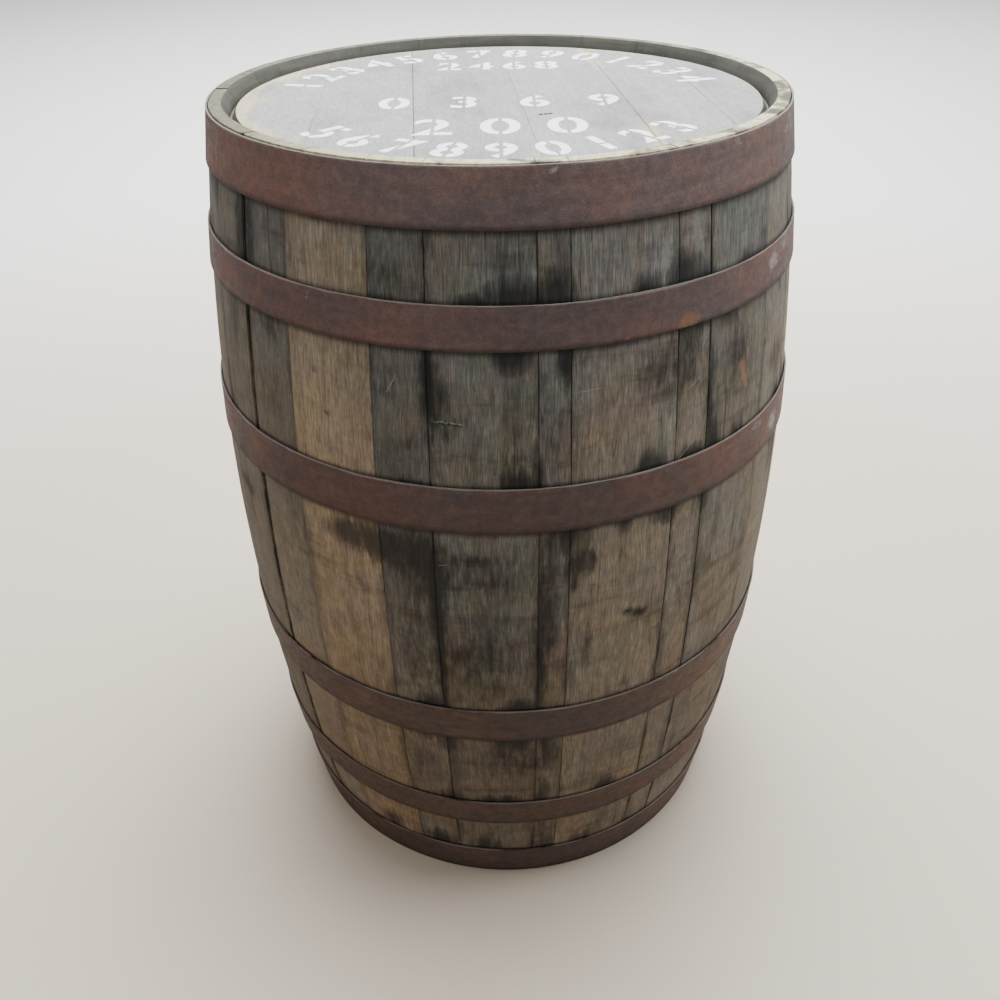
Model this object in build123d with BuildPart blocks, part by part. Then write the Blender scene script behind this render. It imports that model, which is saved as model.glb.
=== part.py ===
from build123d import *
from itertools import accumulate
from math import asin, atan2, cos, degrees, radians, sin, sqrt
import os

# Oak whisky barrel on its end: bent staves, steel hoops, doweled heads and a driven bung.
# Millimetres, +Z up. The origin is the centre of the circle that the barrel stands on.
# Angles run around +Z, in degrees, from the front of the barrel, which faces -Y.

# Barrel body
cask_height = 885.0
end_radius = 281.5
bulge = 40.0
stave_thickness = 28.0
rim_width = 13.5
chime_depth = 12.0

# Staves: width of each one as a share of the whole turn, from the first joint onwards
stave_width_shares = (
    11.9, 16.5, 9.6, 17.7, 5.3, 19.0, 7.0, 17.0, 12.5,
    15.5, 9.5, 15.5, 11.0, 16.0, 8.5, 15.5, 13.0, 19.0,
    11.0, 16.5, 10.0, 17.0, 9.5, 16.5, 11.5, 15.5, 12.5,
)
first_joint_angle = -50.5
bung_stave_number = 18

# Heads: boards held by a tongue in the croze, the groove near each end of the staves
head_recess = 10.5
head_thickness = 26.0
head_outer_lip = 4.0
head_bevel = 12.0
croze_mouth = 11.0
croze_floor = 6.0
croze_depth = 7.0
head_clearance = 0.3
seal_thickness = 1.6
top_board_joint_shares = (-0.70, -0.336, 0.07, 0.473, 0.78)
bottom_board_joint_shares = (-0.74, -0.41, -0.02, 0.36, 0.71)
top_board_angle = 3.9
bottom_board_angle = -2.5

# Dowels across the joints of the head boards
dowel_radius = 4.0
dowel_length = 50.0
dowel_clearance = 0.1
dowel_spread_share = 0.42

# Hoops: flat bands, lapped and riveted on the bung side
hoop_thickness = 2.0
hoop_clearance = 0.2
hoop_setback = 1.5
top_head_hoop_width = 48.0
top_quarter_hoop_width = 39.0
top_bilge_hoop_width = 47.5
bottom_bilge_hoop_width = 47.0
bottom_quarter_hoop_width = 43.5
bottom_head_hoop_width = 54.0
top_quarter_height_share = 0.857
top_bilge_height_share = 0.664
bottom_bilge_height_share = 0.348
bottom_quarter_height_share = 0.162
lap_length = 72.0
lap_inset = 0.8
ramp_length = 26.0
lap_swing_angle = 31.0

# Rivets through the laps
rivet_radius = 2.6
rivet_head_radius = 5.5
rivet_head_height = 2.6
rivet_pitch = 30.0
rivet_clearance = 0.1

# Bung and its tapered hole
bung_hole_radius = 25.4
bung_taper_share = 0.05
bung_clearance = 0.3
bung_proud = 4.0
bung_reach = 7.0
bung_chamfer = 1.5

# How far a cutting tool runs past the faces that it cuts
overrun = 5.0

# The barrel's side is one arc, and the inside of the staves lies parallel to it
mid_height = cask_height / 2
bilge_radius = end_radius + bulge
arc_radius = (mid_height**2 + bulge**2) / (2 * bulge)
arc_centre = bilge_radius - arc_radius
whole_turn_angle = 360.0
quarter_turn_angle = 90.0
up = Vector(0, 0, 1)


def side_radius(height, depth):
    """Radius of the barrel's side at a height, at a depth under the outer face."""
    return arc_centre + sqrt((arc_radius - depth) ** 2 - (height - mid_height) ** 2)


def side_tilt(height):
    """Angle by which the barrel's side faces upwards at a height, in radians."""
    return asin((height - mid_height) / arc_radius)


def radial_plane(angle):
    """Plane through the barrel's axis, with x pointing out at an angle and y up."""
    out = Vector(sin(radians(angle)), -cos(radians(angle)), 0)
    return Plane((0, 0, 0), x_dir=out, z_dir=out.cross(up))


def end_height(depth, upper):
    """Height of a place that lies a depth inside the upper or the lower end."""
    return cask_height - depth if upper else depth


def write(part, label):
    part.label = label
    export_step(part, f"parts/{label}.step")


chime_radius = side_radius(chime_depth, stave_thickness)
rim_inner_radius = end_radius - rim_width
croze_centre_depth = head_recess + head_outer_lip + croze_mouth / 2
croze_radius = side_radius(croze_centre_depth, stave_thickness)
croze_floor_radius = croze_radius + croze_depth


def croze_outline(upper):
    """Corners of the groove for one head, from its mouth to its floor and back."""
    mouth_radius = croze_radius - overrun
    outer_mouth = end_height(croze_centre_depth - croze_mouth / 2, upper)
    inner_mouth = end_height(croze_centre_depth + croze_mouth / 2, upper)
    return (
        (mouth_radius, outer_mouth),
        (croze_radius, outer_mouth),
        (croze_floor_radius, end_height(croze_centre_depth - croze_floor / 2, upper)),
        (croze_floor_radius, end_height(croze_centre_depth + croze_floor / 2, upper)),
        (croze_radius, inner_mouth),
        (mouth_radius, inner_mouth),
    )


def make_stave(start_angle, width_angle):
    """A bent board between two planes through the barrel's axis, grooved for both heads."""
    with BuildPart() as stave:
        with BuildSketch(radial_plane(start_angle)):
            with BuildLine():
                outside = ThreePointArc(
                    (end_radius, 0),
                    (bilge_radius, mid_height),
                    (end_radius, cask_height),
                )
                top_chime = Polyline(
                    outside @ 1,
                    (rim_inner_radius, cask_height),
                    (chime_radius, cask_height - chime_depth),
                )
                inside = ThreePointArc(
                    top_chime @ 1,
                    (bilge_radius - stave_thickness, mid_height),
                    (chime_radius, chime_depth),
                )
                Polyline(inside @ 1, (rim_inner_radius, 0), outside @ 0)
            make_face()
            for upper in (True, False):
                with BuildLine():
                    Polyline(*croze_outline(upper), close=True)
                make_face(mode=Mode.SUBTRACT)
        revolve(axis=Axis.Z, revolution_arc=width_angle)
    return stave.part


os.makedirs("parts", exist_ok=True)

# Staves
share_angle = whole_turn_angle / sum(stave_width_shares)
stave_angles = [share * share_angle for share in stave_width_shares]
joint_angles = [first_joint_angle + turn for turn in accumulate(stave_angles, initial=0)]
bung_angle = joint_angles[bung_stave_number - 1] + stave_angles[bung_stave_number - 1] / 2
bung_out = radial_plane(bung_angle).x_dir


def bung_plane(radius):
    """Plane across the bung's axis at a distance from the barrel's axis, facing outwards."""
    return Plane(bung_out * radius + up * mid_height, z_dir=bung_out)


def bung_taper_radius(radius):
    """Radius of the tapered bung hole at a distance from the barrel's axis."""
    return bung_hole_radius - (bilge_radius - radius) * bung_taper_share


for number, (start_angle, width_angle) in enumerate(zip(joint_angles, stave_angles), start=1):
    if number != bung_stave_number:
        write(make_stave(start_angle, width_angle), f"stave_{number:02d}")

hole_inner = bilge_radius - stave_thickness - overrun
hole_outer = bilge_radius + overrun
with BuildPart() as bung_stave:
    add(make_stave(joint_angles[bung_stave_number - 1], stave_angles[bung_stave_number - 1]))
    with Locations(bung_plane(hole_inner)):
        Cone(
            bung_taper_radius(hole_inner),
            bung_taper_radius(hole_outer),
            hole_outer - hole_inner,
            align=(Align.CENTER, Align.CENTER, Align.MIN),
            mode=Mode.SUBTRACT,
        )
write(bung_stave.part, "bung_stave")

# Bung
bung_inner = bilge_radius - stave_thickness - bung_reach
bung_outer = bilge_radius + bung_proud
with BuildPart() as bung:
    with Locations(bung_plane(bung_inner)):
        Cone(
            bung_taper_radius(bung_inner) - bung_clearance,
            bung_taper_radius(bung_outer) - bung_clearance,
            bung_outer - bung_inner,
            align=(Align.CENTER, Align.CENTER, Align.MIN),
        )
    chamfer(bung.edges().filter_by(GeomType.CIRCLE), bung_chamfer)
write(bung.part, "bung")

# Heads
head_face_radius = chime_radius - head_clearance
tongue_tip_radius = croze_floor_radius - seal_thickness - 2 * head_clearance
tongue_taper = (croze_mouth - croze_floor) / 2 / croze_depth
tongue_root_half = croze_mouth / 2 - head_clearance
tongue_tip_half = tongue_root_half - tongue_taper * (tongue_tip_radius - croze_radius)
head_middle_depth = head_recess + head_thickness / 2


def head_outline(upper):
    """Half of a cut through a head, with its tongue and the bevel on its inner side."""
    return (
        (0, end_height(head_recess, upper)),
        (head_face_radius, end_height(head_recess, upper)),
        (head_face_radius, end_height(croze_centre_depth - tongue_root_half, upper)),
        (croze_radius, end_height(croze_centre_depth - tongue_root_half, upper)),
        (tongue_tip_radius, end_height(croze_centre_depth - tongue_tip_half, upper)),
        (tongue_tip_radius, end_height(croze_centre_depth + tongue_tip_half, upper)),
        (croze_radius, end_height(croze_centre_depth + tongue_root_half, upper)),
        (head_face_radius, end_height(croze_centre_depth + tongue_root_half, upper)),
        (head_face_radius - head_bevel, end_height(head_recess + head_thickness, upper)),
        (0, end_height(head_recess + head_thickness, upper)),
    )


def joint_plane(head_plane, joint_share):
    """Plane of a joint between two head boards, facing across the boards."""
    return Plane(
        head_plane.from_local_coords((head_face_radius * joint_share, 0, 0)),
        x_dir=head_plane.y_dir,
        z_dir=head_plane.x_dir,
    )


def dowel_places(head_plane, joint_share):
    """The two dowel places on a joint."""
    half_joint = head_face_radius * sqrt(1 - joint_share**2)
    plane = joint_plane(head_plane, joint_share)
    spread = half_joint * dowel_spread_share
    return [Plane(plane.from_local_coords((side * spread, 0, 0)), z_dir=plane.z_dir) for side in (-1, 1)]


for end_name, upper, board_angle, joint_shares in (
    ("top", True, top_board_angle, top_board_joint_shares),
    ("bottom", False, bottom_board_angle, bottom_board_joint_shares),
):
    head_plane = Plane.XY.offset(end_height(head_middle_depth, upper)).rotated((0, 0, board_angle))
    board_sides = list(zip((None,) + joint_shares, joint_shares + (None,)))
    for board_number, sides in enumerate(board_sides, start=1):
        with BuildPart() as board:
            with BuildSketch(Plane.XZ):
                with BuildLine():
                    Polyline(*head_outline(upper), close=True)
                make_face()
            revolve(axis=Axis.Z)
            for joint_share, keep in zip(sides, (Keep.TOP, Keep.BOTTOM)):
                if joint_share is not None:
                    split(bisect_by=joint_plane(head_plane, joint_share), keep=keep)
                    with Locations(*dowel_places(head_plane, joint_share)):
                        Cylinder(
                            dowel_radius + dowel_clearance,
                            dowel_length + 2 * dowel_clearance,
                            mode=Mode.SUBTRACT,
                        )
        write(board.part, f"{end_name}_head_board_{board_number}")
    with BuildPart() as dowels:
        for joint_share in joint_shares:
            with Locations(*dowel_places(head_plane, joint_share)):
                Cylinder(dowel_radius, dowel_length)
    write(dowels.part, f"{end_name}_head_dowels")
    with BuildPart() as rush_seal:
        with BuildSketch(Plane.XZ):
            with Locations((tongue_tip_radius + head_clearance, end_height(croze_centre_depth, upper))):
                Rectangle(
                    seal_thickness,
                    croze_floor - 2 * head_clearance,
                    align=(Align.MIN, Align.CENTER),
                )
        revolve(axis=Axis.Z)
    write(rush_seal.part, f"{end_name}_rush_seal")

# Hoops and their rivets
hoop_outside = hoop_clearance + hoop_thickness
lap_inside = hoop_clearance + hoop_thickness / 2
lap_outside = hoop_clearance + 2 * hoop_thickness
rivet_length = 2 * hoop_thickness


def band_place(height, inner_lift, outer_lift):
    """Middle of a band's section, between two lifts off the staves, on a radial plane."""
    tilt = side_tilt(height)
    reach = arc_radius + (inner_lift + outer_lift) / 2
    return Location((arc_centre + reach * cos(tilt), mid_height + reach * sin(tilt), 0), (0, 0, degrees(tilt)))


def rivet_plane(height, angle):
    """Plane on the outside of a lap, facing along the rivet."""
    tilt = side_tilt(height)
    reach = arc_radius + lap_outside
    plane = radial_plane(angle)
    origin = plane.from_local_coords((arc_centre + reach * cos(tilt), mid_height + reach * sin(tilt)))
    return Plane(origin, z_dir=plane.x_dir * cos(tilt) + up * sin(tilt))


crown_radius = (rivet_head_radius**2 + rivet_head_height**2) / (2 * rivet_head_height)
crown_angle = degrees(atan2(crown_radius - rivet_head_height, rivet_head_radius))
with BuildPart() as rivet:
    Cylinder(rivet_radius, rivet_length, align=(Align.CENTER, Align.CENTER, Align.MAX))
    with BuildSketch(Plane.XZ):
        with BuildLine():
            crown = CenterArc(
                (0, rivet_head_height - crown_radius),
                crown_radius,
                crown_angle,
                quarter_turn_angle - crown_angle,
            )
            Polyline(crown @ 1, (0, 0), crown @ 0)
        make_face()
    revolve(axis=Axis.Z)

hoops = (
    ("top_head_hoop", top_head_hoop_width, cask_height - hoop_setback - top_head_hoop_width / 2),
    ("top_quarter_hoop", top_quarter_hoop_width, cask_height * top_quarter_height_share),
    ("top_bilge_hoop", top_bilge_hoop_width, cask_height * top_bilge_height_share),
    ("bottom_bilge_hoop", bottom_bilge_hoop_width, cask_height * bottom_bilge_height_share),
    ("bottom_quarter_hoop", bottom_quarter_hoop_width, cask_height * bottom_quarter_height_share),
    ("bottom_head_hoop", bottom_head_hoop_width, hoop_setback + bottom_head_hoop_width / 2),
)

rivet_planes = []
for hoop_number, (hoop_name, width, height) in enumerate(hoops):
    radius = side_radius(height, 0)
    lap_turn = degrees(lap_length / radius)
    ramp_turn = degrees(ramp_length / radius)
    pitch_turn = degrees(rivet_pitch / radius)
    swing = lap_swing_angle if hoop_number % 2 else -lap_swing_angle
    lap_middle = bung_angle + swing
    lap_start = lap_middle - lap_turn / 2
    lap_end = lap_middle + lap_turn / 2
    lap_width = width - 2 * lap_inset
    hoop_rivet_planes = [rivet_plane(height, lap_middle + side * pitch_turn / 2) for side in (-1, 1)]
    rivet_planes += hoop_rivet_planes
    with BuildPart() as hoop:
        with BuildSketch(radial_plane(lap_start)):
            with Locations(band_place(height, hoop_clearance, hoop_outside)):
                Rectangle(hoop_thickness, width)
        revolve(axis=Axis.Z)
        with BuildSketch(radial_plane(lap_start)):
            with Locations(band_place(height, lap_inside, lap_outside)):
                Rectangle(lap_outside - lap_inside, lap_width)
        revolve(axis=Axis.Z, revolution_arc=lap_turn)
        with BuildSketch(radial_plane(lap_end)):
            with Locations(band_place(height, lap_inside, lap_outside)):
                Rectangle(lap_outside - lap_inside, lap_width)
        with BuildSketch(radial_plane(lap_end + ramp_turn)):
            with Locations(band_place(height, hoop_clearance, lap_inside)):
                Rectangle(lap_inside - hoop_clearance, lap_width)
        loft(ruled=True)
        with Locations(*hoop_rivet_planes):
            Cylinder(
                rivet_radius + rivet_clearance,
                rivet_length + 2 * overrun,
                mode=Mode.SUBTRACT,
            )
    write(hoop.part, hoop_name)

with BuildPart() as hoop_rivets:
    with Locations(*rivet_planes):
        add(rivet.part)
write(hoop_rivets.part, "hoop_rivets")
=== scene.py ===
import random
from math import asin, atan2, cos, pi, radians, sin, sqrt

import bmesh
import bpy
import numpy as np
from mathutils import Matrix, Vector


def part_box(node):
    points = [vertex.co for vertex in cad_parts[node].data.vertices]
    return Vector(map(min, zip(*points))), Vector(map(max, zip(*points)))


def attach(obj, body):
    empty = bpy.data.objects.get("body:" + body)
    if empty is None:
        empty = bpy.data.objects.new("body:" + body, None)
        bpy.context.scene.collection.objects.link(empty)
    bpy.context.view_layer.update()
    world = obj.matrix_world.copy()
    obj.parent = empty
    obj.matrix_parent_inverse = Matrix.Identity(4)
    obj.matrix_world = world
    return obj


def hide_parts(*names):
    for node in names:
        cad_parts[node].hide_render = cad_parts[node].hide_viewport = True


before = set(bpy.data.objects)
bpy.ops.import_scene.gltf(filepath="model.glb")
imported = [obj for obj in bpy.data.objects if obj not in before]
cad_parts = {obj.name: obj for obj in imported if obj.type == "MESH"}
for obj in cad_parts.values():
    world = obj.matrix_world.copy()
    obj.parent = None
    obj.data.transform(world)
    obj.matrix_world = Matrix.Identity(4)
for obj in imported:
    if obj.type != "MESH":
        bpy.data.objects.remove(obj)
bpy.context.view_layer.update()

# Oak whisky barrel on its end, dressed piece by piece around its CAD solids.
# Metres, +Z up. Turns around the barrel run in degrees from its front, which faces -Y.

# Sizes that the solids were drawn with
cask_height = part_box("stave_01")[1].z
end_radius = 0.2815
bulge = 0.040
stave_thickness = 0.028
chime_depth = 0.012
head_recess = 0.0105
head_thickness = 0.026
head_outer_lip = 0.004
head_bevel = 0.012
head_clearance = 0.0003
croze_mouth = 0.011
croze_floor = 0.006
croze_depth = 0.007
seal_thickness = 0.0016
hoop_thickness = 0.002
hoop_clearance = 0.0002
lap_length = 0.072
ramp_length = 0.026
lap_swing = 31.0
bung_turn = 180.0
bung_hole_radius = 0.0254
bung_taper = 0.05
bung_clearance = 0.0003
stave_widths = (
    11.9, 16.5, 9.6, 17.7, 5.3, 19.0, 7.0, 17.0, 12.5,
    15.5, 9.5, 15.5, 11.0, 16.0, 8.5, 15.5, 13.0, 19.0,
    11.0, 16.5, 10.0, 17.0, 9.5, 16.5, 11.5, 15.5, 12.5,
)
first_joint = -50.5
bung_stave_number = 18
board_joints = {
    "top": (3.9, (-0.70, -0.336, 0.07, 0.473, 0.78)),
    "bottom": (-2.5, (-0.74, -0.41, -0.02, 0.36, 0.71)),
}
hoop_widths = {
    "top_head_hoop": 0.048,
    "top_quarter_hoop": 0.039,
    "top_bilge_hoop": 0.0475,
    "bottom_bilge_hoop": 0.047,
    "bottom_quarter_hoop": 0.0435,
    "bottom_head_hoop": 0.054,
}

# The barrel's side is one arc
mid_height = cask_height / 2
bilge_radius = end_radius + bulge
arc_radius = (mid_height**2 + bulge**2) / (2 * bulge)
arc_centre = bilge_radius - arc_radius


def side_radius(height, depth=0.0):
    """Radius of the barrel's side at a height, at a depth under the outer face."""
    return arc_centre + sqrt((arc_radius - depth) ** 2 - (height - mid_height) ** 2)


def side_tilt(height):
    """Angle by which the barrel's side faces upwards at a height."""
    return asin((height - mid_height) / arc_radius)


def end_height(depth, upper):
    """Height of a place that lies a depth inside the upper or the lower end."""
    return cask_height - depth if upper else depth


chime_radius = side_radius(chime_depth, stave_thickness)
croze_middle = head_recess + head_outer_lip + croze_mouth / 2
croze_radius = side_radius(croze_middle, stave_thickness)
croze_floor_radius = croze_radius + croze_depth
head_joint_radius = chime_radius - head_clearance
hoop_heights = {}
for hoop_name in hoop_widths:
    low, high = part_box(hoop_name)
    hoop_heights[hoop_name] = (low.z + high.z) / 2
full_turn = 2 * pi


def apart(turn, other, full=360.0):
    """The short way round to a turn from another, in degrees unless a full turn is given."""
    return (turn - other + full / 2) % full - full / 2


def turn_at(point):
    """Turn of a point around the barrel, in radians from the front."""
    return atan2(point.x, -point.y)


# Modelling by hand


def fresh():
    """Leaves edit mode and lets go of everything that is selected."""
    if bpy.context.mode != "OBJECT":
        bpy.ops.object.mode_set(mode="OBJECT")
    bpy.ops.object.select_all(action="DESELECT")


def take(piece):
    """Makes a piece the only one that is selected."""
    fresh()
    piece.select_set(True)
    bpy.context.view_layer.objects.active = piece


def settle(piece):
    """Puts a piece's place, turn and size into its mesh."""
    take(piece)
    bpy.ops.object.transform_apply(location=True, rotation=True, scale=True)


def select_whole():
    """In edit mode, selects the whole mesh."""
    bpy.ops.mesh.select_mode(type="VERT")
    bpy.ops.mesh.select_all(action="SELECT")


def open_mesh(piece):
    """Goes into edit mode with the whole mesh selected."""
    take(piece)
    bpy.ops.object.mode_set(mode="EDIT")
    select_whole()


def close_mesh():
    bpy.ops.object.mode_set(mode="OBJECT")


def pick(piece, kind, test):
    """In edit mode, selects the vertices, edges or faces that pass a test."""
    bpy.ops.mesh.select_mode(type=kind)
    bpy.ops.mesh.select_all(action="DESELECT")
    mesh = bmesh.from_edit_mesh(piece.data)
    parts = {"VERT": mesh.verts, "EDGE": mesh.edges, "FACE": mesh.faces}[kind]
    for part in parts:
        if test(part):
            part.select_set(True)
    mesh.select_flush_mode()
    bmesh.update_edit_mesh(piece.data)


def move_by(*step):
    """In edit mode, moves what is selected."""
    bpy.ops.transform.translate(value=step)


def round_off(width):
    """In edit mode, rounds the selected edges."""
    bpy.ops.mesh.bevel(offset=width, segments=2, affect="EDGES")


def spin(steps, angle, way=-1):
    """In edit mode, spins what is selected around the upright axis."""
    bpy.ops.mesh.spin(steps=steps, angle=angle, center=(0, 0, 0), axis=(0, 0, way))


def cut(plane_point, plane_normal, **settings):
    """In edit mode, cuts what is selected along a plane."""
    length = sqrt(sum(part * part for part in plane_normal))
    bpy.ops.mesh.bisect(
        plane_co=plane_point,
        plane_no=[part / length for part in plane_normal],
        threshold=1e-7,
        **settings,
    )


def mend():
    """In edit mode, closes seams and points the faces outwards."""
    select_whole()
    bpy.ops.mesh.remove_doubles(threshold=1e-6)
    bpy.ops.mesh.normals_make_consistent(inside=False)


def start_point(place):
    """A mesh of a single vertex: a small plane drawn together."""
    fresh()
    bpy.ops.mesh.primitive_plane_add(size=0.01, location=place)
    point = bpy.context.object
    settle(point)
    open_mesh(point)
    bpy.ops.mesh.merge(type="CENTER")
    return point


def draw_outline(outline):
    """A line through points that are given by radius and height, left in edit mode."""
    line = start_point((outline[0][0], 0, outline[0][1]))
    for before, after in zip(outline, outline[1:]):
        step = (after[0] - before[0], 0, after[1] - before[1])
        bpy.ops.mesh.extrude_vertices_move(TRANSFORM_OT_translate={"value": step})
    return line


def copy_of(piece, name):
    """A copy of a piece with its own mesh."""
    copy = piece.copy()
    copy.data = piece.data.copy()
    copy.name = copy.data.name = name
    bpy.context.collection.objects.link(copy)
    return copy


def discard(piece):
    """Takes away a piece that only served to shape others."""
    fresh()
    bpy.data.objects.remove(piece)


def join(pieces, name):
    """Makes one piece out of several."""
    fresh()
    for piece in pieces:
        piece.select_set(True)
    bpy.context.view_layer.objects.active = pieces[0]
    bpy.ops.object.join()
    joined = bpy.context.object
    joined.name = joined.data.name = name
    settle(joined)
    return joined


def apply_modifier(piece, kind, **settings):
    take(piece)
    modifier = piece.modifiers.new(kind.lower(), kind)
    for name, value in settings.items():
        setattr(modifier, name, value)
    bpy.ops.object.modifier_apply(modifier=modifier.name)


def smooth(piece, angle=38):
    take(piece)
    bpy.ops.object.shade_smooth_by_angle(angle=radians(angle))


# Values that the materials read from the meshes


def places(piece):
    """Places of a mesh's vertices."""
    flat = np.empty(len(piece.data.vertices) * 3)
    piece.data.vertices.foreach_get("co", flat)
    return flat.reshape(-1, 3)


def turns_of(spots):
    """Turn of each place around the barrel, in radians from the front."""
    return np.arctan2(spots[:, 0], -spots[:, 1])


def radii_of(spots):
    """Distance of each place from the upright axis."""
    return np.hypot(spots[:, 0], spots[:, 1])


def note(piece, **values):
    """Keeps named numbers for each vertex."""
    mesh = piece.data
    for name, numbers in values.items():
        numbers = np.broadcast_to(np.asarray(numbers, np.float32), len(mesh.vertices))
        attribute = mesh.attributes.new(name, "FLOAT", "POINT")
        attribute.data.foreach_set("value", np.ascontiguousarray(numbers))


def corner_vertices(piece):
    vertices = np.empty(len(piece.data.loops), np.int32)
    piece.data.loops.foreach_get("vertex_index", vertices)
    return vertices


def lay_map(piece, name, across, along):
    """A UV map from two values for each corner."""
    layer = piece.data.uv_layers.new(name=name, do_init=False)
    layer.data.foreach_set("uv", np.stack([across, along], 1).ravel().astype(np.float32))


def corner_normals(piece):
    """The normal of the face that each corner belongs to."""
    mesh = piece.data
    normals = np.empty(len(mesh.polygons) * 3)
    totals = np.empty(len(mesh.polygons), np.int32)
    mesh.polygons.foreach_get("normal", normals)
    mesh.polygons.foreach_get("loop_total", totals)
    return np.repeat(normals.reshape(-1, 3), totals, axis=0)


def new_clouds(name, scale, depth):
    """A cloud texture that a Displace modifier can follow."""
    clouds = bpy.data.textures.new(name, "CLOUDS")
    clouds.noise_scale = scale
    clouds.noise_depth = depth
    return clouds


wood_relief = new_clouds("wood_relief", 1.0, 2)
steel_waves = new_clouds("steel_waves", 0.12, 1)


def weather(piece, across, along, depth):
    """Sinks the soft parts of the grain under the face; the map holds grain widths."""
    corners = corner_vertices(piece)
    lay_map(piece, "relief", across[corners], along[corners])
    apply_modifier(
        piece,
        "DISPLACE",
        texture=wood_relief,
        texture_coords="UV",
        uv_layer="relief",
        mid_level=1.0,
        strength=depth,
    )
    piece.data.uv_layers.remove(piece.data.uv_layers["relief"])


# Staves

stave_rows = 240
column_width = 0.003
relief_width = 0.0070
relief_length = 0.13
relief_depth = 0.0004
end_rounding = 0.0005
sawn_end_depth = 0.004
rim_face = 0.0070
rim_depth = 0.002
face_depth = 0.008
sharp_angle = radians(60)
level_fall = 0.0005
past_croze = chime_depth * 2.5
outer_edge_reach = 0.001
covered_by_hoop = 0.010
bit_reach = 0.035
bit_overrun = 0.007

# Rounding of the stave edges at the open joints, by the turn of the joint; the rest are tight
tight_joint = 0.0003
open_joints = {
    -50.5: 0.0034, -12.5: 0.0008, 5.2: 0.0006, 10.5: 0.0006, 29.5: 0.0008, 36.5: 0.0009,
    53.5: 0.0008, 66.0: 0.0010, 142.0: 0.0016, 217.0: 0.0012, 281.5: 0.0014,
}


def joint_rounding(turn):
    """Rounding at a joint, found by its turn from the front."""
    for open_turn, rounding in open_joints.items():
        if abs(apart(turn, open_turn)) < 0.1:
            return rounding
    return tight_joint


# The worn chime: distance from the barrel's axis and depth under its end, from the rim inwards
chime_line = (
    (end_radius - 0.0120, 0.0),
    (end_radius - 0.0162, 0.0090),
    (croze_floor_radius, croze_middle - croze_mouth / 2),
)


def pick_faces(profile, height, reach, inside=bilge_radius):
    """Selects the faces of the profile within a reach of a height and inside a radius."""

    def is_near(face):
        middle = face.calc_center_median()
        return abs(middle.z - height) < reach and middle.x < inside

    pick(profile, "FACE", is_near)


def make_stave_profile():
    """An upright cut through a stave, with its chimes and the crozes for both heads."""
    profile = start_point((end_radius, 0, 0))
    bpy.ops.mesh.spin(
        steps=stave_rows,
        angle=2 * asin(mid_height / arc_radius),
        center=(arc_centre, 0, mid_height),
        axis=(0, 1, 0),
    )
    bpy.ops.mesh.select_all(action="SELECT")
    bpy.ops.mesh.extrude_edges_move(TRANSFORM_OT_translate={"value": (-stave_thickness, 0, 0)})
    half_mouth = croze_mouth / 2
    for upper in (True, False):
        middle = end_height(croze_middle, upper)
        for edge in (-half_mouth, half_mouth):
            pick_faces(profile, middle, 2 * croze_mouth)
            cut((0, 0, middle + edge), (0, 0, 1))
        pick_faces(profile, middle, half_mouth)
        cut((croze_floor_radius, 0, 0), (1, 0, 0))
        pick_faces(profile, middle, half_mouth, croze_floor_radius)
        bpy.ops.mesh.delete(type="FACE")
        for (outer, shallow), (inner, deep) in zip(chime_line, chime_line[1:]):
            pick_faces(profile, end_height(0, upper), croze_middle - half_mouth)
            fall = (outer - inner) if upper else (inner - outer)
            cut((outer, 0, end_height(shallow, upper)), (shallow - deep, 0, fall), clear_outer=True)
    close_mesh()
    profile.name = "stave_profile"
    return profile


def is_stave_edge(edge):
    """True on a stave's sharp upright edges, but not inside a croze."""
    if edge.calc_face_angle(0.0) < sharp_angle:
        return False
    ends = edge.verts[0].co, edge.verts[1].co
    if abs(ends[0].z - ends[1].z) < level_fall:
        return False
    middle = (ends[0] + ends[1]) / 2
    depth = min(middle.z, cask_height - middle.z)
    return depth > past_croze or middle.xy.length > end_radius - outer_edge_reach


def is_on_joint(edge, turn):
    """True if an edge lies on the joint at a turn."""
    return all(abs(apart(turn_at(end.co), turn, full_turn)) < 1e-3 for end in edge.verts)


def is_stave_end(edge):
    """True on the outer and the inner edge of a stave's sawn ends."""
    heights = [min(end.co.z, cask_height - end.co.z) for end in edge.verts]
    return max(heights) < 1e-5 and edge.calc_face_angle(0.0) > radians(35)


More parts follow.
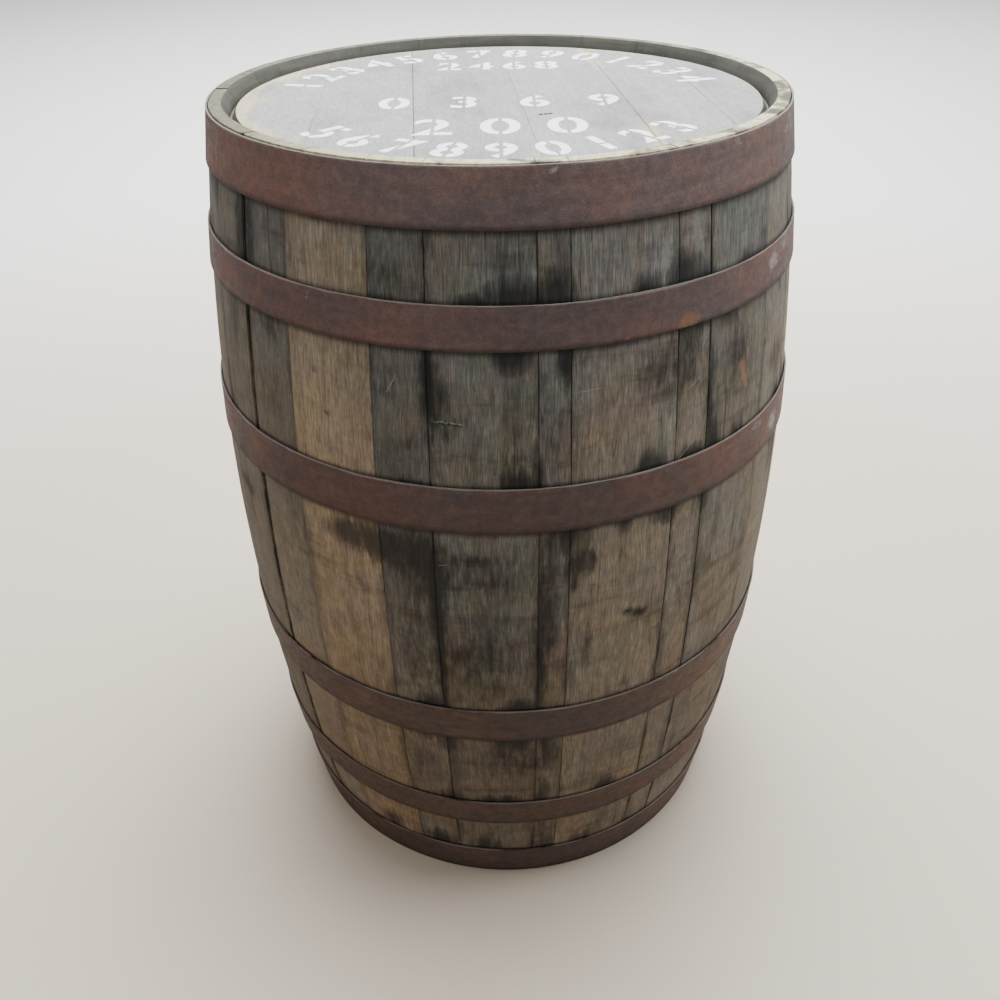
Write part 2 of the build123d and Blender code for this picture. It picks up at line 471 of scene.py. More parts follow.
# Dark stains that iron draws out of wet oak: turn, half width in degrees,
# height at the hoop, height of the tip and strength
hoop_stains = [
    (2.0, 5.5, 0.777, 0.797, 1.0), (8.3, 2.6, 0.777, 0.803, 0.95), (-4.5, 3.5, 0.777, 0.786, 0.8),
    (23.5, 2.6, 0.777, 0.793, 0.9), (30.5, 4.0, 0.777, 0.801, 1.0), (35.0, 2.5, 0.777, 0.790, 0.7),
    (-19.5, 2.5, 0.777, 0.792, 0.45), (47.0, 3.5, 0.777, 0.788, 0.6),
    (1.0, 3.2, 0.739, 0.722, 0.9), (9.4, 1.5, 0.739, 0.705, 0.90), (31.0, 3.0, 0.739, 0.715, 0.5),
    (34.0, 2.0, 0.739, 0.728, 0.8), (-12.2, 0.9, 0.739, 0.680, 0.60), (41.0, 3.0, 0.739, 0.722, 0.6),
    (-44.0, 4.0, 0.739, 0.715, 0.45),
    (1.5, 2.8, 0.611, 0.629, 0.95), (5.2, 1.2, 0.611, 0.650, 0.6), (24.5, 3.6, 0.611, 0.630, 1.0),
    (33.0, 3.0, 0.611, 0.622, 0.9), (-16.0, 3.0, 0.611, 0.620, 0.4), (38.5, 1.5, 0.611, 0.640, 0.8),
    (45.0, 2.0, 0.611, 0.624, 0.7),
    (10.5, 3.4, 0.564, 0.535, 0.9), (7.6, 2.2, 0.564, 0.510, 0.55), (20.0, 1.4, 0.564, 0.548, 0.8),
    (28.5, 3.2, 0.564, 0.548, 0.9), (36.0, 2.5, 0.564, 0.540, 0.55),
    (2.0, 3.4, 0.331, 0.346, 1.0), (-15.0, 3.2, 0.331, 0.350, 0.85), (-12.3, 0.8, 0.331, 0.450, 0.5),
    (5.6, 1.0, 0.331, 0.450, 0.5),
    (-12.5, 3.0, 0.284, 0.262, 0.75), (0.5, 4.5, 0.284, 0.255, 0.85), (7.4, 2.4, 0.284, 0.225, 0.60),
    (-18.0, 3.0, 0.284, 0.272, 0.7),
    (-2.0, 6.0, 0.165, 0.177, 0.8), (21.0, 2.6, 0.165, 0.186, 0.9), (6.5, 2.0, 0.165, 0.210, 0.55),
    (-13.0, 3.0, 0.165, 0.180, 0.6),
    (-6.0, 3.6, 0.055, 0.090, 0.65), (-17.0, 3.4, 0.055, 0.080, 0.8), (7.6, 2.6, 0.055, 0.110, 0.55),
    (17.0, 3.0, 0.055, 0.078, 0.5), (30.0, 3.0, 0.055, 0.084, 0.5), (-30.0, 3.0, 0.055, 0.088, 0.6),
]

# Soft soot and damp away from the hoops: turn, half width in degrees, height, half height, strength
soot_patches = [
    (-29.5, 3.4, 0.542, 0.015, 0.92), (-25.0, 4.8, 0.540, 0.018, 0.97), (-19.5, 4.8, 0.535, 0.021, 0.98),
    (-14.8, 3.6, 0.530, 0.026, 1.0), (-12.4, 0.9, 0.495, 0.032, 1.0), (-12.7, 0.7, 0.450, 0.022, 0.95),
    (-17.0, 5.0, 0.490, 0.050, 0.38), (-17.5, 4.0, 0.410, 0.060, 0.38),
    (-3.0, 9.0, 0.420, 0.075, 0.36), (-30.0, 4.0, 0.430, 0.040, 0.22), (-1.0, 9.0, 0.240, 0.050, 0.30),
    (-12.5, 2.2, 0.515, 0.030, 0.95), (-12.4, 1.3, 0.475, 0.050, 1.0), (-12.4, 1.0, 0.400, 0.060, 0.7),
    (-5.0, 6.0, 0.532, 0.006, 0.45), (-2.0, 5.0, 0.505, 0.005, 0.35), (-7.0, 4.0, 0.412, 0.010, 0.60),
    (12.0, 2.6, 0.519, 0.014, 1.0), (13.5, 1.8, 0.530, 0.010, 0.9), (11.4, 0.8, 0.500, 0.016, 0.9),
    (7.0, 1.8, 0.460, 0.055, 1.0), (6.0, 1.0, 0.395, 0.050, 0.7),
    (24.2, 1.5, 0.4436, 0.0075, 1.0), (21.9, 0.9, 0.4498, 0.005, 0.95), (14.0, 1.2, 0.415, 0.030, 0.65),
    (17.5, 0.6, 0.405, 0.016, 0.5), (33.5, 2.0, 0.440, 0.030, 0.40), (20.0, 1.2, 0.520, 0.020, 0.40),
    (-9.5, 3.0, 0.666, 0.016, 0.55), (-12.2, 1.6, 0.705, 0.036, 0.90), (-10.0, 2.4, 0.697, 0.020, 0.6),
    (26.0, 5.0, 0.706, 0.022, 0.55), (32.0, 3.5, 0.700, 0.034, 0.65), (44.0, 5.0, 0.690, 0.034, 0.70),
    (-18.5, 2.4, 0.700, 0.022, 0.45), (1.0, 3.0, 0.640, 0.008, 0.5), (-33.0, 0.8, 0.703, 0.003, 0.7),
    (-31.0, 0.6, 0.664, 0.0025, 0.8), (-17.0, 3.8, 0.650, 0.010, 0.5), (-17.0, 3.4, 0.390, 0.030, 0.25),
    (-4.0, 8.0, 0.515, 0.032, 0.52),
    (-6.0, 7.0, 0.380, 0.050, 0.35), (40.0, 2.0, 0.470, 0.016, 0.5), (37.0, 1.0, 0.660, 0.050, 0.7),
    (-49.0, 1.8, 0.800, 0.060, 0.9), (-52.0, 1.8, 0.800, 0.065, 0.9), (-44.0, 4.0, 0.660, 0.030, 0.4),
    (8.0, 2.0, 0.640, 0.040, 0.45), (-19.0, 3.5, 0.800, 0.020, 0.5), (2.0, 8.0, 0.240, 0.020, 0.4),
    (-18.0, 4.0, 0.240, 0.030, 0.3), (24.0, 4.0, 0.240, 0.020, 0.35), (38.0, 3.0, 0.610, 0.030, 0.4),
    (29.5, 0.6, 0.240, 0.036, 0.85), (36.5, 0.6, 0.245, 0.042, 0.85), (29.5, 0.5, 0.100, 0.030, 0.7),
    (36.5, 0.6, 0.105, 0.030, 0.7), (29.5, 0.4, 0.400, 0.060, 0.6), (36.5, 0.4, 0.420, 0.070, 0.6),
]

# The sides that the photo doesn't show get stains and soot at random
drift = random.Random(11)
unseen_turns = (58, 302)
stains_on_an_edge = 11
soot_count = 60
soot_limits = (unseen_turns, (0.8, 5.0), (0.10, 0.80), (0.006, 0.050), (0.35, 0.95))
for hoop_name, hoop_width in hoop_widths.items():
    for way in (1, -1):
        edge_height = hoop_heights[hoop_name] + way * (hoop_width / 2)
        for _ in range(stains_on_an_edge):
            turn = drift.uniform(*unseen_turns)
            reach = drift.uniform(0.008, 0.030) * (2.2 if drift.random() < 0.2 else 1.0)
            half = drift.uniform(1.2, 5.0)
            tip = edge_height + way * reach
            hoop_stains.append((turn, half, edge_height, tip, drift.uniform(0.4, 1.0)))
for _ in range(soot_count):
    soot_patches.append(tuple(drift.uniform(*limits) for limits in soot_limits))


def stain_at(turns, heights):
    """How strongly iron from a hoop has stained each place, from 0 to 1."""
    stain = np.zeros_like(turns)
    for turn, half, base, tip, strength in hoop_stains:
        aside = np.abs(apart(turns, turn)) / half
        climb = np.maximum((heights - base) / (tip - base), 0.0)
        shape = strength * (1.5 - np.hypot(aside, climb))
        stain = np.maximum(stain, np.where((heights - base) * (tip - base) > -1e-4, shape, 0.0))
    return np.clip(stain, 0.0, 1.0)


def soot_at(turns, heights):
    """How dark the soft soot lies at each place, from 0 to 1."""
    clean = np.ones_like(turns)
    for turn, half, height, reach, strength in soot_patches:
        aside = np.abs(apart(turns, turn)) / half
        clean *= 1 - strength * np.exp(-0.9 * (aside**2 + ((heights - height) / reach) ** 2))
    return 1 - clean


def gap_at_hoops(heights, way):
    """Distance of each height from the nearest hoop edge, above it (1) or below it (-1)."""
    nearest = np.ones_like(heights)
    for name, width in hoop_widths.items():
        gap = way * (heights - hoop_heights[name]) - width / 2
        nearest = np.minimum(nearest, np.where(gap > -covered_by_hoop, gap, 1.0))
    return nearest


# How each stave looks: share of tan in its grey and brightness in its upper half,
# the same in its lower half, and how far it sits back from its neighbours
stave_looks = {
    1: (0.42, 0.60, 0.42, 1.10, 0.0005),
    2: (0.92, 0.94, 0.70, 1.07, 0.0001),
    3: (0.16, 0.74, 0.38, 0.92, 0.0005),
    4: (0.12, 0.92, 0.28, 0.93, 0.0002),
    5: (0.16, 0.98, 0.26, 1.02, 0.0005),
    6: (0.26, 1.01, 0.31, 1.22, 0.0001),
    7: (0.25, 1.00, 0.30, 1.14, 0.0003),
    8: (0.27, 0.83, 0.27, 1.08, 0.0001),
    9: (0.26, 0.96, 0.28, 1.04, 0.0004),
    26: (0.40, 0.66, 0.40, 0.76, 0.0002),
    27: (0.48, 0.58, 0.43, 0.74, 0.0001),
}
upper_look_height = 0.58
lower_look_height = 0.36
short_staves = {25: 0.0012}


def bung_radius_at(reach):
    """Radius of the tapered bung hole at a distance from the barrel's axis."""
    return bung_hole_radius - (bilge_radius - reach) * bung_taper


def drill_bung_hole(stave):
    """Bores the tapered hole through the middle of the bung stave."""
    inner, outer = bilge_radius - bit_reach, bilge_radius + bit_overrun
    fresh()
    bpy.ops.mesh.primitive_cone_add(
        vertices=96,
        radius1=bung_radius_at(inner),
        radius2=bung_radius_at(outer),
        depth=outer - inner,
        location=(0, (inner + outer) / 2, mid_height),
        rotation=(-pi / 2, 0, 0),
    )
    bit = bpy.context.object
    settle(bit)
    apply_modifier(stave, "BOOLEAN", object=bit, operation="DIFFERENCE", solver="EXACT")
    discard(bit)


def make_stave(profile, number, start, width):
    """A stave spun from the profile between two joints, worn, with the values that its oak reads."""
    name = "bung_stave" if number == bung_stave_number else f"stave_{number:02d}"
    draw = random.Random(100 + number)
    drawn_tone, drawn_shade = draw.uniform(0.05, 0.85), draw.uniform(0.85, 1.15)
    drawn_look = (drawn_tone, drawn_shade, drawn_tone, drawn_shade, draw.uniform(0.0001, 0.0005))
    tone, shade, low_tone, low_shade, set_back = stave_looks.get(number, drawn_look)
    short_end = short_staves[number] if number in short_staves else draw.uniform(0.0, 0.0003)
    seed = draw.uniform(0, 60)
    stave = copy_of(profile, f"{name}_weathered")
    stave.rotation_euler.z = radians(start - 90)
    settle(stave)
    open_mesh(stave)
    spin(max(4, round(radians(width) * bilge_radius / column_width)), radians(width))
    mend()
    middle, half_width = radians(start + width / 2), radians(width) / 2
    roundings = (joint_rounding(start), joint_rounding(start + width))
    for joint, rounding in zip((middle - half_width, middle + half_width), roundings):
        pick(stave, "EDGE", lambda edge: is_stave_edge(edge) and is_on_joint(edge, joint))
        round_off(rounding)
    pick(stave, "EDGE", is_stave_end)
    round_off(end_rounding)
    select_whole()
    move_by(-sin(middle) * set_back, cos(middle) * set_back, 0)
    pick(stave, "VERT", lambda vertex: vertex.co.z > cask_height - sawn_end_depth)
    move_by(0, 0, -short_end)
    close_mesh()

    spots = places(stave)
    heights = spots[:, 2]
    aside = apart(turns_of(spots), middle, full_turn) * bilge_radius
    end_gap = np.minimum(heights, cask_height - short_end - heights)
    outside = radii_of(spots) > end_radius - rim_depth
    note(stave, rim=(end_gap < 2e-5) | ((end_gap < rim_face) & outside))
    relief_across = aside / relief_width + seed * 7.3
    relief_along = heights / relief_length + seed * 3.1
    weather(stave, relief_across, relief_along, relief_depth)
    if number == bung_stave_number:
        drill_bung_hole(stave)

    spots = places(stave)
    turns, radii, heights = turns_of(spots), radii_of(spots), spots[:, 2]
    from_middle = apart(turns, middle, full_turn)
    face = radii > side_radius(0.0) - face_depth
    low = np.clip((upper_look_height - heights) / (upper_look_height - lower_look_height), 0, 1)
    note(
        stave,
        joint=(half_width - np.abs(from_middle)) * radii,
        stain=stain_at(np.degrees(turns), heights) * face,
        soot=soot_at(np.degrees(turns), heights) * face,
        over_hoop=gap_at_hoops(heights, 1),
        under_hoop=gap_at_hoops(heights, -1),
        chime=~face & (np.minimum(heights, cask_height - heights) < chime_depth * 1.3),
        number=number,
        grime=np.where(from_middle < 0, *roundings) * 1.5 + 0.0002,
        tone=tone + (low_tone - tone) * low,
        shade=shade + (low_shade - shade) * low,
        seed=seed,
    )
    corners = corner_vertices(stave)
    flat = np.abs(corner_normals(stave)[:, 2]) > 0.8
    along = np.where(flat, radii[corners], heights[corners])
    lay_map(stave, "grain", (from_middle * bilge_radius)[corners], along)
    smooth(stave)
    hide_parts(name)
    return stave


# Hoops

hoop_steps = 400
hoop_cells = 12
lap_steps = 9
ramp_steps = 8
lap_gap = 0.00005
lap_opening = 0.004
hoop_rounding = 0.0005
hoop_wave = 0.0016

# Worn places: turn, half width in degrees, hoop, place across from -1 to 1, half height, strength
hoop_wear = [
    (55.5, 2.6, "top_quarter_hoop", 0.2, 0.7, 0.9), (61.0, 4.0, "top_quarter_hoop", 0.7, 0.5, 0.6),
    (60.0, 3.2, "top_bilge_hoop", -0.1, 0.6, 1.0), (52.0, 3.0, "top_bilge_hoop", 0.6, 0.4, 0.45),
    (7.8, 0.8, "top_head_hoop", 0.84, 0.11, 1.0), (66.0, 6.0, "top_head_hoop", 0.6, 0.6, 0.55),
    (44.0, 3.0, "top_head_hoop", 0.9, 0.3, 0.35),
    (-33.5, 0.8, "top_quarter_hoop", 0.5, 0.6, 0.2), (13.0, 0.6, "bottom_head_hoop", 0.0, 0.9, 0.15),
    (34.0, 5.0, "bottom_bilge_hoop", 0.9, 0.25, 0.25),
]
unseen_wear_count = 26
for _ in range(unseen_wear_count):
    hoop_wear.append(
        (
            drift.uniform(70, 300),
            drift.uniform(0.6, 5.0),
            drift.choice(list(hoop_widths)),
            drift.uniform(-1, 1),
            drift.uniform(0.2, 0.7),
            drift.uniform(0.15, 0.5),
        )
    )

# Fresh orange rust, listed in the same way
hoop_blooms = [
    (30.9, 3.2, "top_quarter_hoop", -0.75, 0.45, 1.0), (-55.0, 5.0, "top_quarter_hoop", 0.1, 0.8, 0.30),
    (-46.0, 3.0, "top_quarter_hoop", -0.2, 0.5, 0.25), (-52.0, 4.0, "top_bilge_hoop", 0.2, 0.9, 0.3),
    (20.0, 0.5, "top_quarter_hoop", -0.8, 0.2, 0.8), (57.0, 4.0, "top_bilge_hoop", 0.2, 0.7, 0.40),
    (52.0, 3.0, "bottom_bilge_hoop", 0.2, 0.8, 0.45), (-30.0, 3.0, "bottom_bilge_hoop", 0.3, 0.6, 0.35),
    (118.0, 3.0, "top_bilge_hoop", -0.4, 0.5, 0.8), (205.0, 4.0, "top_head_hoop", 0.1, 0.6, 0.6),
    (243.0, 2.5, "bottom_quarter_hoop", 0.2, 0.6, 0.8), (151.0, 3.5, "bottom_bilge_hoop", -0.5, 0.5, 0.7),
]


def spread(patches, name, turns, across):
    """How strongly the patches of one hoop cover each place."""
    cover = np.zeros(len(turns))
    for turn, half, hoop_name, middle, half_height, strength in patches:
        if hoop_name == name:
            aside = np.abs(apart(np.degrees(turns), turn)) / half
            cover = np.maximum(cover, strength * (1.2 - np.hypot(aside, (across - middle) / half_height)))
    return np.clip(cover, 0, 1)


def make_hoop(name, swing):
    """A steel strip bent round the staves, its start lapped over its end where the rivets go."""
    width, height = hoop_widths[name], hoop_heights[name]
    tilt = side_tilt(height)
    reach = arc_radius + hoop_clearance + hoop_thickness / 2
    fresh()
    bpy.ops.mesh.primitive_grid_add(
        x_subdivisions=1,
        y_subdivisions=hoop_cells,
        size=1,
        location=(arc_centre + reach * cos(tilt), 0, mid_height + reach * sin(tilt)),
        rotation=(pi / 2, -tilt, 0),
    )
    hoop = bpy.context.object
    hoop.name = hoop.data.name = f"{name}_strip"
    hoop.scale = (hoop_thickness, width, 1)
    settle(hoop)
    radius = side_radius(height)
    lap_turn, ramp_turn = lap_length / radius, ramp_length / radius
    start = radians(bung_turn + swing) - lap_turn / 2
    hoop.rotation_euler.z = start - pi / 2
    settle(hoop)
    open_mesh(hoop)

    # The start of the strip lies on top of its end, and a ramp brings it down to the staves
    spin(lap_steps, lap_turn)
    spin(ramp_steps, ramp_turn)
    columns = [lap_turn * step / lap_steps for step in range(lap_steps + 1)]
    columns += [lap_turn + ramp_turn * step / ramp_steps for step in range(1, ramp_steps)]
    for column in columns:
        past = max(0.0, (column - lap_turn) / ramp_turn)
        lift = (hoop_thickness + lap_gap) * (1 - past * past * (3 - 2 * past))
        turn = start + column
        pick(hoop, "VERT", lambda vertex: abs(apart(turn_at(vertex.co), turn, full_turn)) < 1e-4)
        outwards = lift * cos(tilt)
        move_by(outwards * sin(turn), -outwards * cos(turn), lift * sin(tilt))
    last = start + lap_turn + ramp_turn
    pick(
        hoop,
        "FACE",
        lambda face: abs(apart(turn_at(face.calc_center_median()), last, full_turn)) < 1e-4,
    )
    spin(hoop_steps, full_turn - ramp_turn - lap_opening)
    mend()
    pick(hoop, "EDGE", lambda edge: edge.calc_face_angle(0.0) > sharp_angle)
    round_off(hoop_rounding)
    close_mesh()
    apply_modifier(
        hoop,
        "DISPLACE",
        texture=steel_waves,
        texture_coords="LOCAL",
        direction="Z",
        mid_level=0.5,
        strength=hoop_wave,
    )
    spots = places(hoop)
    turns = turns_of(spots)
    up = (spots[:, 2] - height) / cos(tilt)
    upper = up / (width / 2)
    note(
        hoop,
        edge=width / 2 - np.abs(up),
        upper=upper,
        worn=spread(hoop_wear, name, turns, upper),
        bloom=spread(hoop_blooms, name, turns, upper),
    )
    smooth(hoop)
    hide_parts(name)
    return hoop


# Heads

worn_joints = (-0.336, 0.473)
flaked_joint = 0.473
worn_reach = 0.02
tight_seam = 0.15
worn_seam_gain = 0.75
flaking = 0.9
board_relief_width = 0.009
board_relief_length = 0.16
board_relief_depth = 0.00015
head_rings = 44
head_segments = 180
head_face_radius = 0.2570
tongue_tip_radius = croze_floor_radius - seal_thickness - 2 * head_clearance
tongue_root_half = croze_mouth / 2 - head_clearance
tongue_slope = (croze_mouth - croze_floor) / 2 / croze_depth
tongue_tip_half = tongue_root_half - tongue_slope * (tongue_tip_radius - croze_radius)


def make_head_blank(upper):
    """A whole head, turned from its outline, with the tongue that goes into the croze."""
    inner_depth = head_recess + head_thickness
    outline = (
        (0.0, head_recess),
        (head_face_radius, head_recess),
        (tongue_tip_radius, croze_middle - tongue_tip_half),
        (tongue_tip_radius, croze_middle + tongue_tip_half),
        (head_joint_radius, croze_middle + tongue_root_half),
        (head_joint_radius - head_bevel, inner_depth),
        (0.0, inner_depth),
    )
    blank = draw_outline([(radius, end_height(depth, upper)) for radius, depth in outline])
    pick(blank, "EDGE", lambda edge: edge.calc_length() > head_face_radius / 2)
    bpy.ops.mesh.subdivide(number_cuts=head_rings)
    bpy.ops.mesh.select_all(action="SELECT")
    spin(head_segments, full_turn, 1)
    mend()
    close_mesh()
    blank.name = "head_blank"
    return blank


def is_board_edge(edge):
    """True on the sharp edges around the outer face of a head board."""
    if edge.calc_face_angle(0.0) <= radians(55):
        return False
    return max(abs(end.co.z - mid_height) for end in edge.verts) > mid_height - head_recess - 0.001


def make_head(end_name):
    """The boards of one head, sawn from the blank along their joints."""
    upper = end_name == "top"
    angle, joints = board_joints[end_name]
    across = (cos(radians(angle)), sin(radians(angle)), 0)
    blank = make_head_blank(upper)
    boards = []
    for number, (left, right) in enumerate(zip((None,) + joints, joints + (None,)), start=1):
        name = f"{end_name}_head_board_{number}"
        draw = random.Random(500 + number + (0 if upper else 50))
        board = copy_of(blank, f"{name}_planed")
        open_mesh(board)
        for joint, clear in ((left, {"clear_inner": True}), (right, {"clear_outer": True})):
            if joint is not None:
                select_whole()
                joint_point = [part * joint * head_joint_radius for part in across]
                cut(joint_point, across, use_fill=True, **clear)
        mend()
        pick(board, "EDGE", is_board_edge)
        round_off(draw.uniform(0.0003, 0.0005))
        select_whole()
        sink = draw.uniform(0.0, 0.0003)
        move_by(0, 0, -sink if upper else sink)
        close_mesh()

        spots = places(board)
        aside = spots[:, 0] * across[0] + spots[:, 1] * across[1]
        along = spots[:, 1] * across[0] - spots[:, 0] * across[1]
        seed = draw.uniform(0, 60)
        relief_across = aside / board_relief_width + seed
        relief_along = along / board_relief_length + seed * 2
        weather(board, relief_across, relief_along, board_relief_depth)
        spots = places(board)
        aside = spots[:, 0] * across[0] + spots[:, 1] * across[1]
        gaps = {joint: np.abs(aside - joint * head_joint_radius) for joint in joints + worn_joints}
        own_joints = [joint for joint in (left, right) if joint is not None]
        near_worn = [gaps[joint] < worn_reach for joint in worn_joints if joint in own_joints]
        note(
            board,
            joint=np.min([gaps[joint] for joint in own_joints], axis=0),
            seam=np.max(near_worn, axis=0) * worn_seam_gain + tight_seam if near_worn else tight_seam,
            flaked=(gaps[flaked_joint] < worn_reach) * flaking,
            border=head_face_radius - radii_of(spots),
            shade=draw.uniform(0.94, 1.05),
        )
        smooth(board)
        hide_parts(name)
        boards.append(board)
    discard(blank)
    return boards


# Bung


def make_bung():
    """A turned plug, tapered, with a crowned face and a groove near its edge."""
    low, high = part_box("bung")
    inner, outer = low.y, high.y
    inner_radius = bung_radius_at(inner) - bung_clearance
    face_radius = bung_radius_at(outer) - bung_clearance
    outline = [
        (0.0, inner),
        (inner_radius - 0.0022, inner),
        (inner_radius - 0.0005, inner + 0.0008),
        (inner_radius, inner + 0.0024),
        (face_radius - 0.0001, outer - 0.0030),
        (face_radius - 0.0005, outer - 0.0016),
        (face_radius - 0.0018, outer - 0.0008),
        (face_radius * 0.80, outer - 0.0005),
        (face_radius * 0.785, outer - 0.0011),
        (face_radius * 0.765, outer - 0.0011),
        (face_radius * 0.75, outer - 0.0004),
        (face_radius * 0.40, outer - 0.0001),
        (0.0, outer),
    ]
    bung = draw_outline(outline)
    bpy.ops.mesh.select_all(action="SELECT")
    spin(96, full_turn, 1)
    mend()
    close_mesh()
    bung.name = bung.data.name = "bung_turned"
    bung.rotation_euler.x = -pi / 2
    bung.location.z = mid_height
    settle(bung)
    spots = places(bung)
    note(bung, axis_gap=np.hypot(spots[:, 0], spots[:, 2] - mid_height))
    smooth(bung, 30)
    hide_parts("bung")
    return bung


# Stencilled marks on the top head: plain numbers in rows and in two arcs

head_face = cask_height - head_recess
mark_lift = 0.00002
mark_thickness = 0.00008
stem_offset = 0.0012
stroke_bridge = 0.0034
glyph_share = 0.73
level_bridges = "1"

# Rows across the head: figures, height on the head, size and spacing
mark_rows = (
    ("2468", 0.138, 0.040, 0.036),
    ("0369", -0.036, 0.046, 0.068),
    ("200", -0.131, 0.056, 0.060),
)
# Arcs around the head: figures, turn between the first and the last, and which way they stand
mark_arcs = (("12345678901234", 150.0, 1), ("567890123", 96.0, -1))
arc_radius_on_head = 0.209
arc_figure = 0.043

# Three nail heads in a slanting row
tack_asides = (0.0380, 0.0425, 0.0470)
tack_row = -0.086
tack_slant = 0.2
tack_radius = 0.0021
tack_sunk = 0.0004
tack_height = 0.0006
tack_rounding = 0.0006
tack_crown = 0.0002


def make_number(figure, place, height, turn=0.0):
    """One stencilled figure, cut by the bridge that holds a stencil together."""
    halves = []
    for side in (-1, 1):
        fresh()
        bpy.ops.object.text_add()
        text = bpy.context.object
        text.data.body = figure
        text.data.size = height / glyph_share
        text.data.align_x = "CENTER"
        text.data.align_y = "CENTER"
        text.data.offset = stem_offset
        text.data.extrude = mark_thickness / 2
        bpy.ops.object.convert(target="MESH")
        half = bpy.context.object
        settle(half)
        open_mesh(half)
        bpy.ops.mesh.remove_doubles(threshold=1e-6)
        way = Vector((0, side, 0) if figure in level_bridges else (side, 0, 0))
        cut(way * (stroke_bridge / 2), -way, clear_outer=True, use_fill=True)
        close_mesh()
        half.rotation_euler.z = turn
        half.location = place
        settle(half)
        halves.append(half)
    return halves


def make_marks():
    """All the stencilled figures as one piece that lies on the paint."""
    level = head_face + mark_lift
    marks = []
    for figures, row, height, spacing in mark_rows:
        for number, figure in enumerate(figures):
            aside = (number - (len(figures) - 1) / 2) * spacing
            marks += make_number(figure, (aside, row, level), height)
    for figures, swing, way in mark_arcs:
        for number, figure in enumerate(figures):
            turn = radians(swing) * (number / (len(figures) - 1) - 0.5)
            place = (arc_radius_on_head * sin(turn), way * arc_radius_on_head * cos(turn), level)
            marks += make_number(figure, place, arc_figure, -way * turn)
    marks = join(marks, "head_stencil_marks")
    open_mesh(marks)
    bpy.ops.mesh.normals_make_consistent(inside=False)
    close_mesh()
    return marks


def make_tacks():
    """The three nail heads, as one piece."""
    tacks = []
    for aside in tack_asides:
        row = tack_row + (aside - tack_asides[1]) * tack_slant
        fresh()
        bpy.ops.mesh.primitive_circle_add(
            vertices=16,
            radius=tack_radius,
            fill_type="NGON",
            location=(aside, row, head_face - tack_sunk),
        )
        tack = bpy.context.object
        settle(tack)
        open_mesh(tack)
        bpy.ops.mesh.extrude_region_move(TRANSFORM_OT_translate={"value": (0, 0, tack_height)})
        bpy.ops.mesh.inset(thickness=tack_rounding, depth=tack_crown)
        mend()
        close_mesh()
        tacks.append(tack)
    tacks = join(tacks, "head_tacks")
    smooth(tacks)
    return tacks


# Finishes


class Value:
    """A value that changes over the surface, for sums that are written out."""

    def __init__(self, bench, socket):
        self.bench = bench
        self.socket = socket

    def __add__(self, other):
        return self.bench.math("ADD", self, other)

    def __sub__(self, other):
        return self.bench.math("SUBTRACT", self, other)

    def __mul__(self, other):
        return self.bench.math("MULTIPLY", self, other)

    def __truediv__(self, other):
        return self.bench.math("DIVIDE", self, other)

    def __abs__(self):
        return self.bench.math("ABSOLUTE", self)

    def rise(self, low, high, start=0.0, end=1.0):
        """A smooth step from start to end, between a low and a high value."""
        inputs = {"Value": self, "From Min": low, "From Max": high, "To Min": start, "To Max": end}
        return self.bench.put("MapRange", inputs, "Result", interpolation_type="SMOOTHSTEP")


class Coat:
    """A colour that is built up layer by layer."""

    def __init__(self, bench, colour):
        self.bench = bench
        self.colour = colour

    def over(self, share, colour):
        """Lays a colour over the coat, as far as the share says."""
        self.colour = self.bench.mix(share, self.colour, colour)

    def times(self, share, factor):
        """Multiplies the coat by a factor, as far as the share says."""
        self.colour = self.bench.mix(share, self.colour, factor, "MULTIPLY")

    def vary(self, value, low, high):
        """Multiplies the coat by a factor that runs from low to high along a value."""
        self.times(1.0, value.rise(0.0, 1.0, low, high))


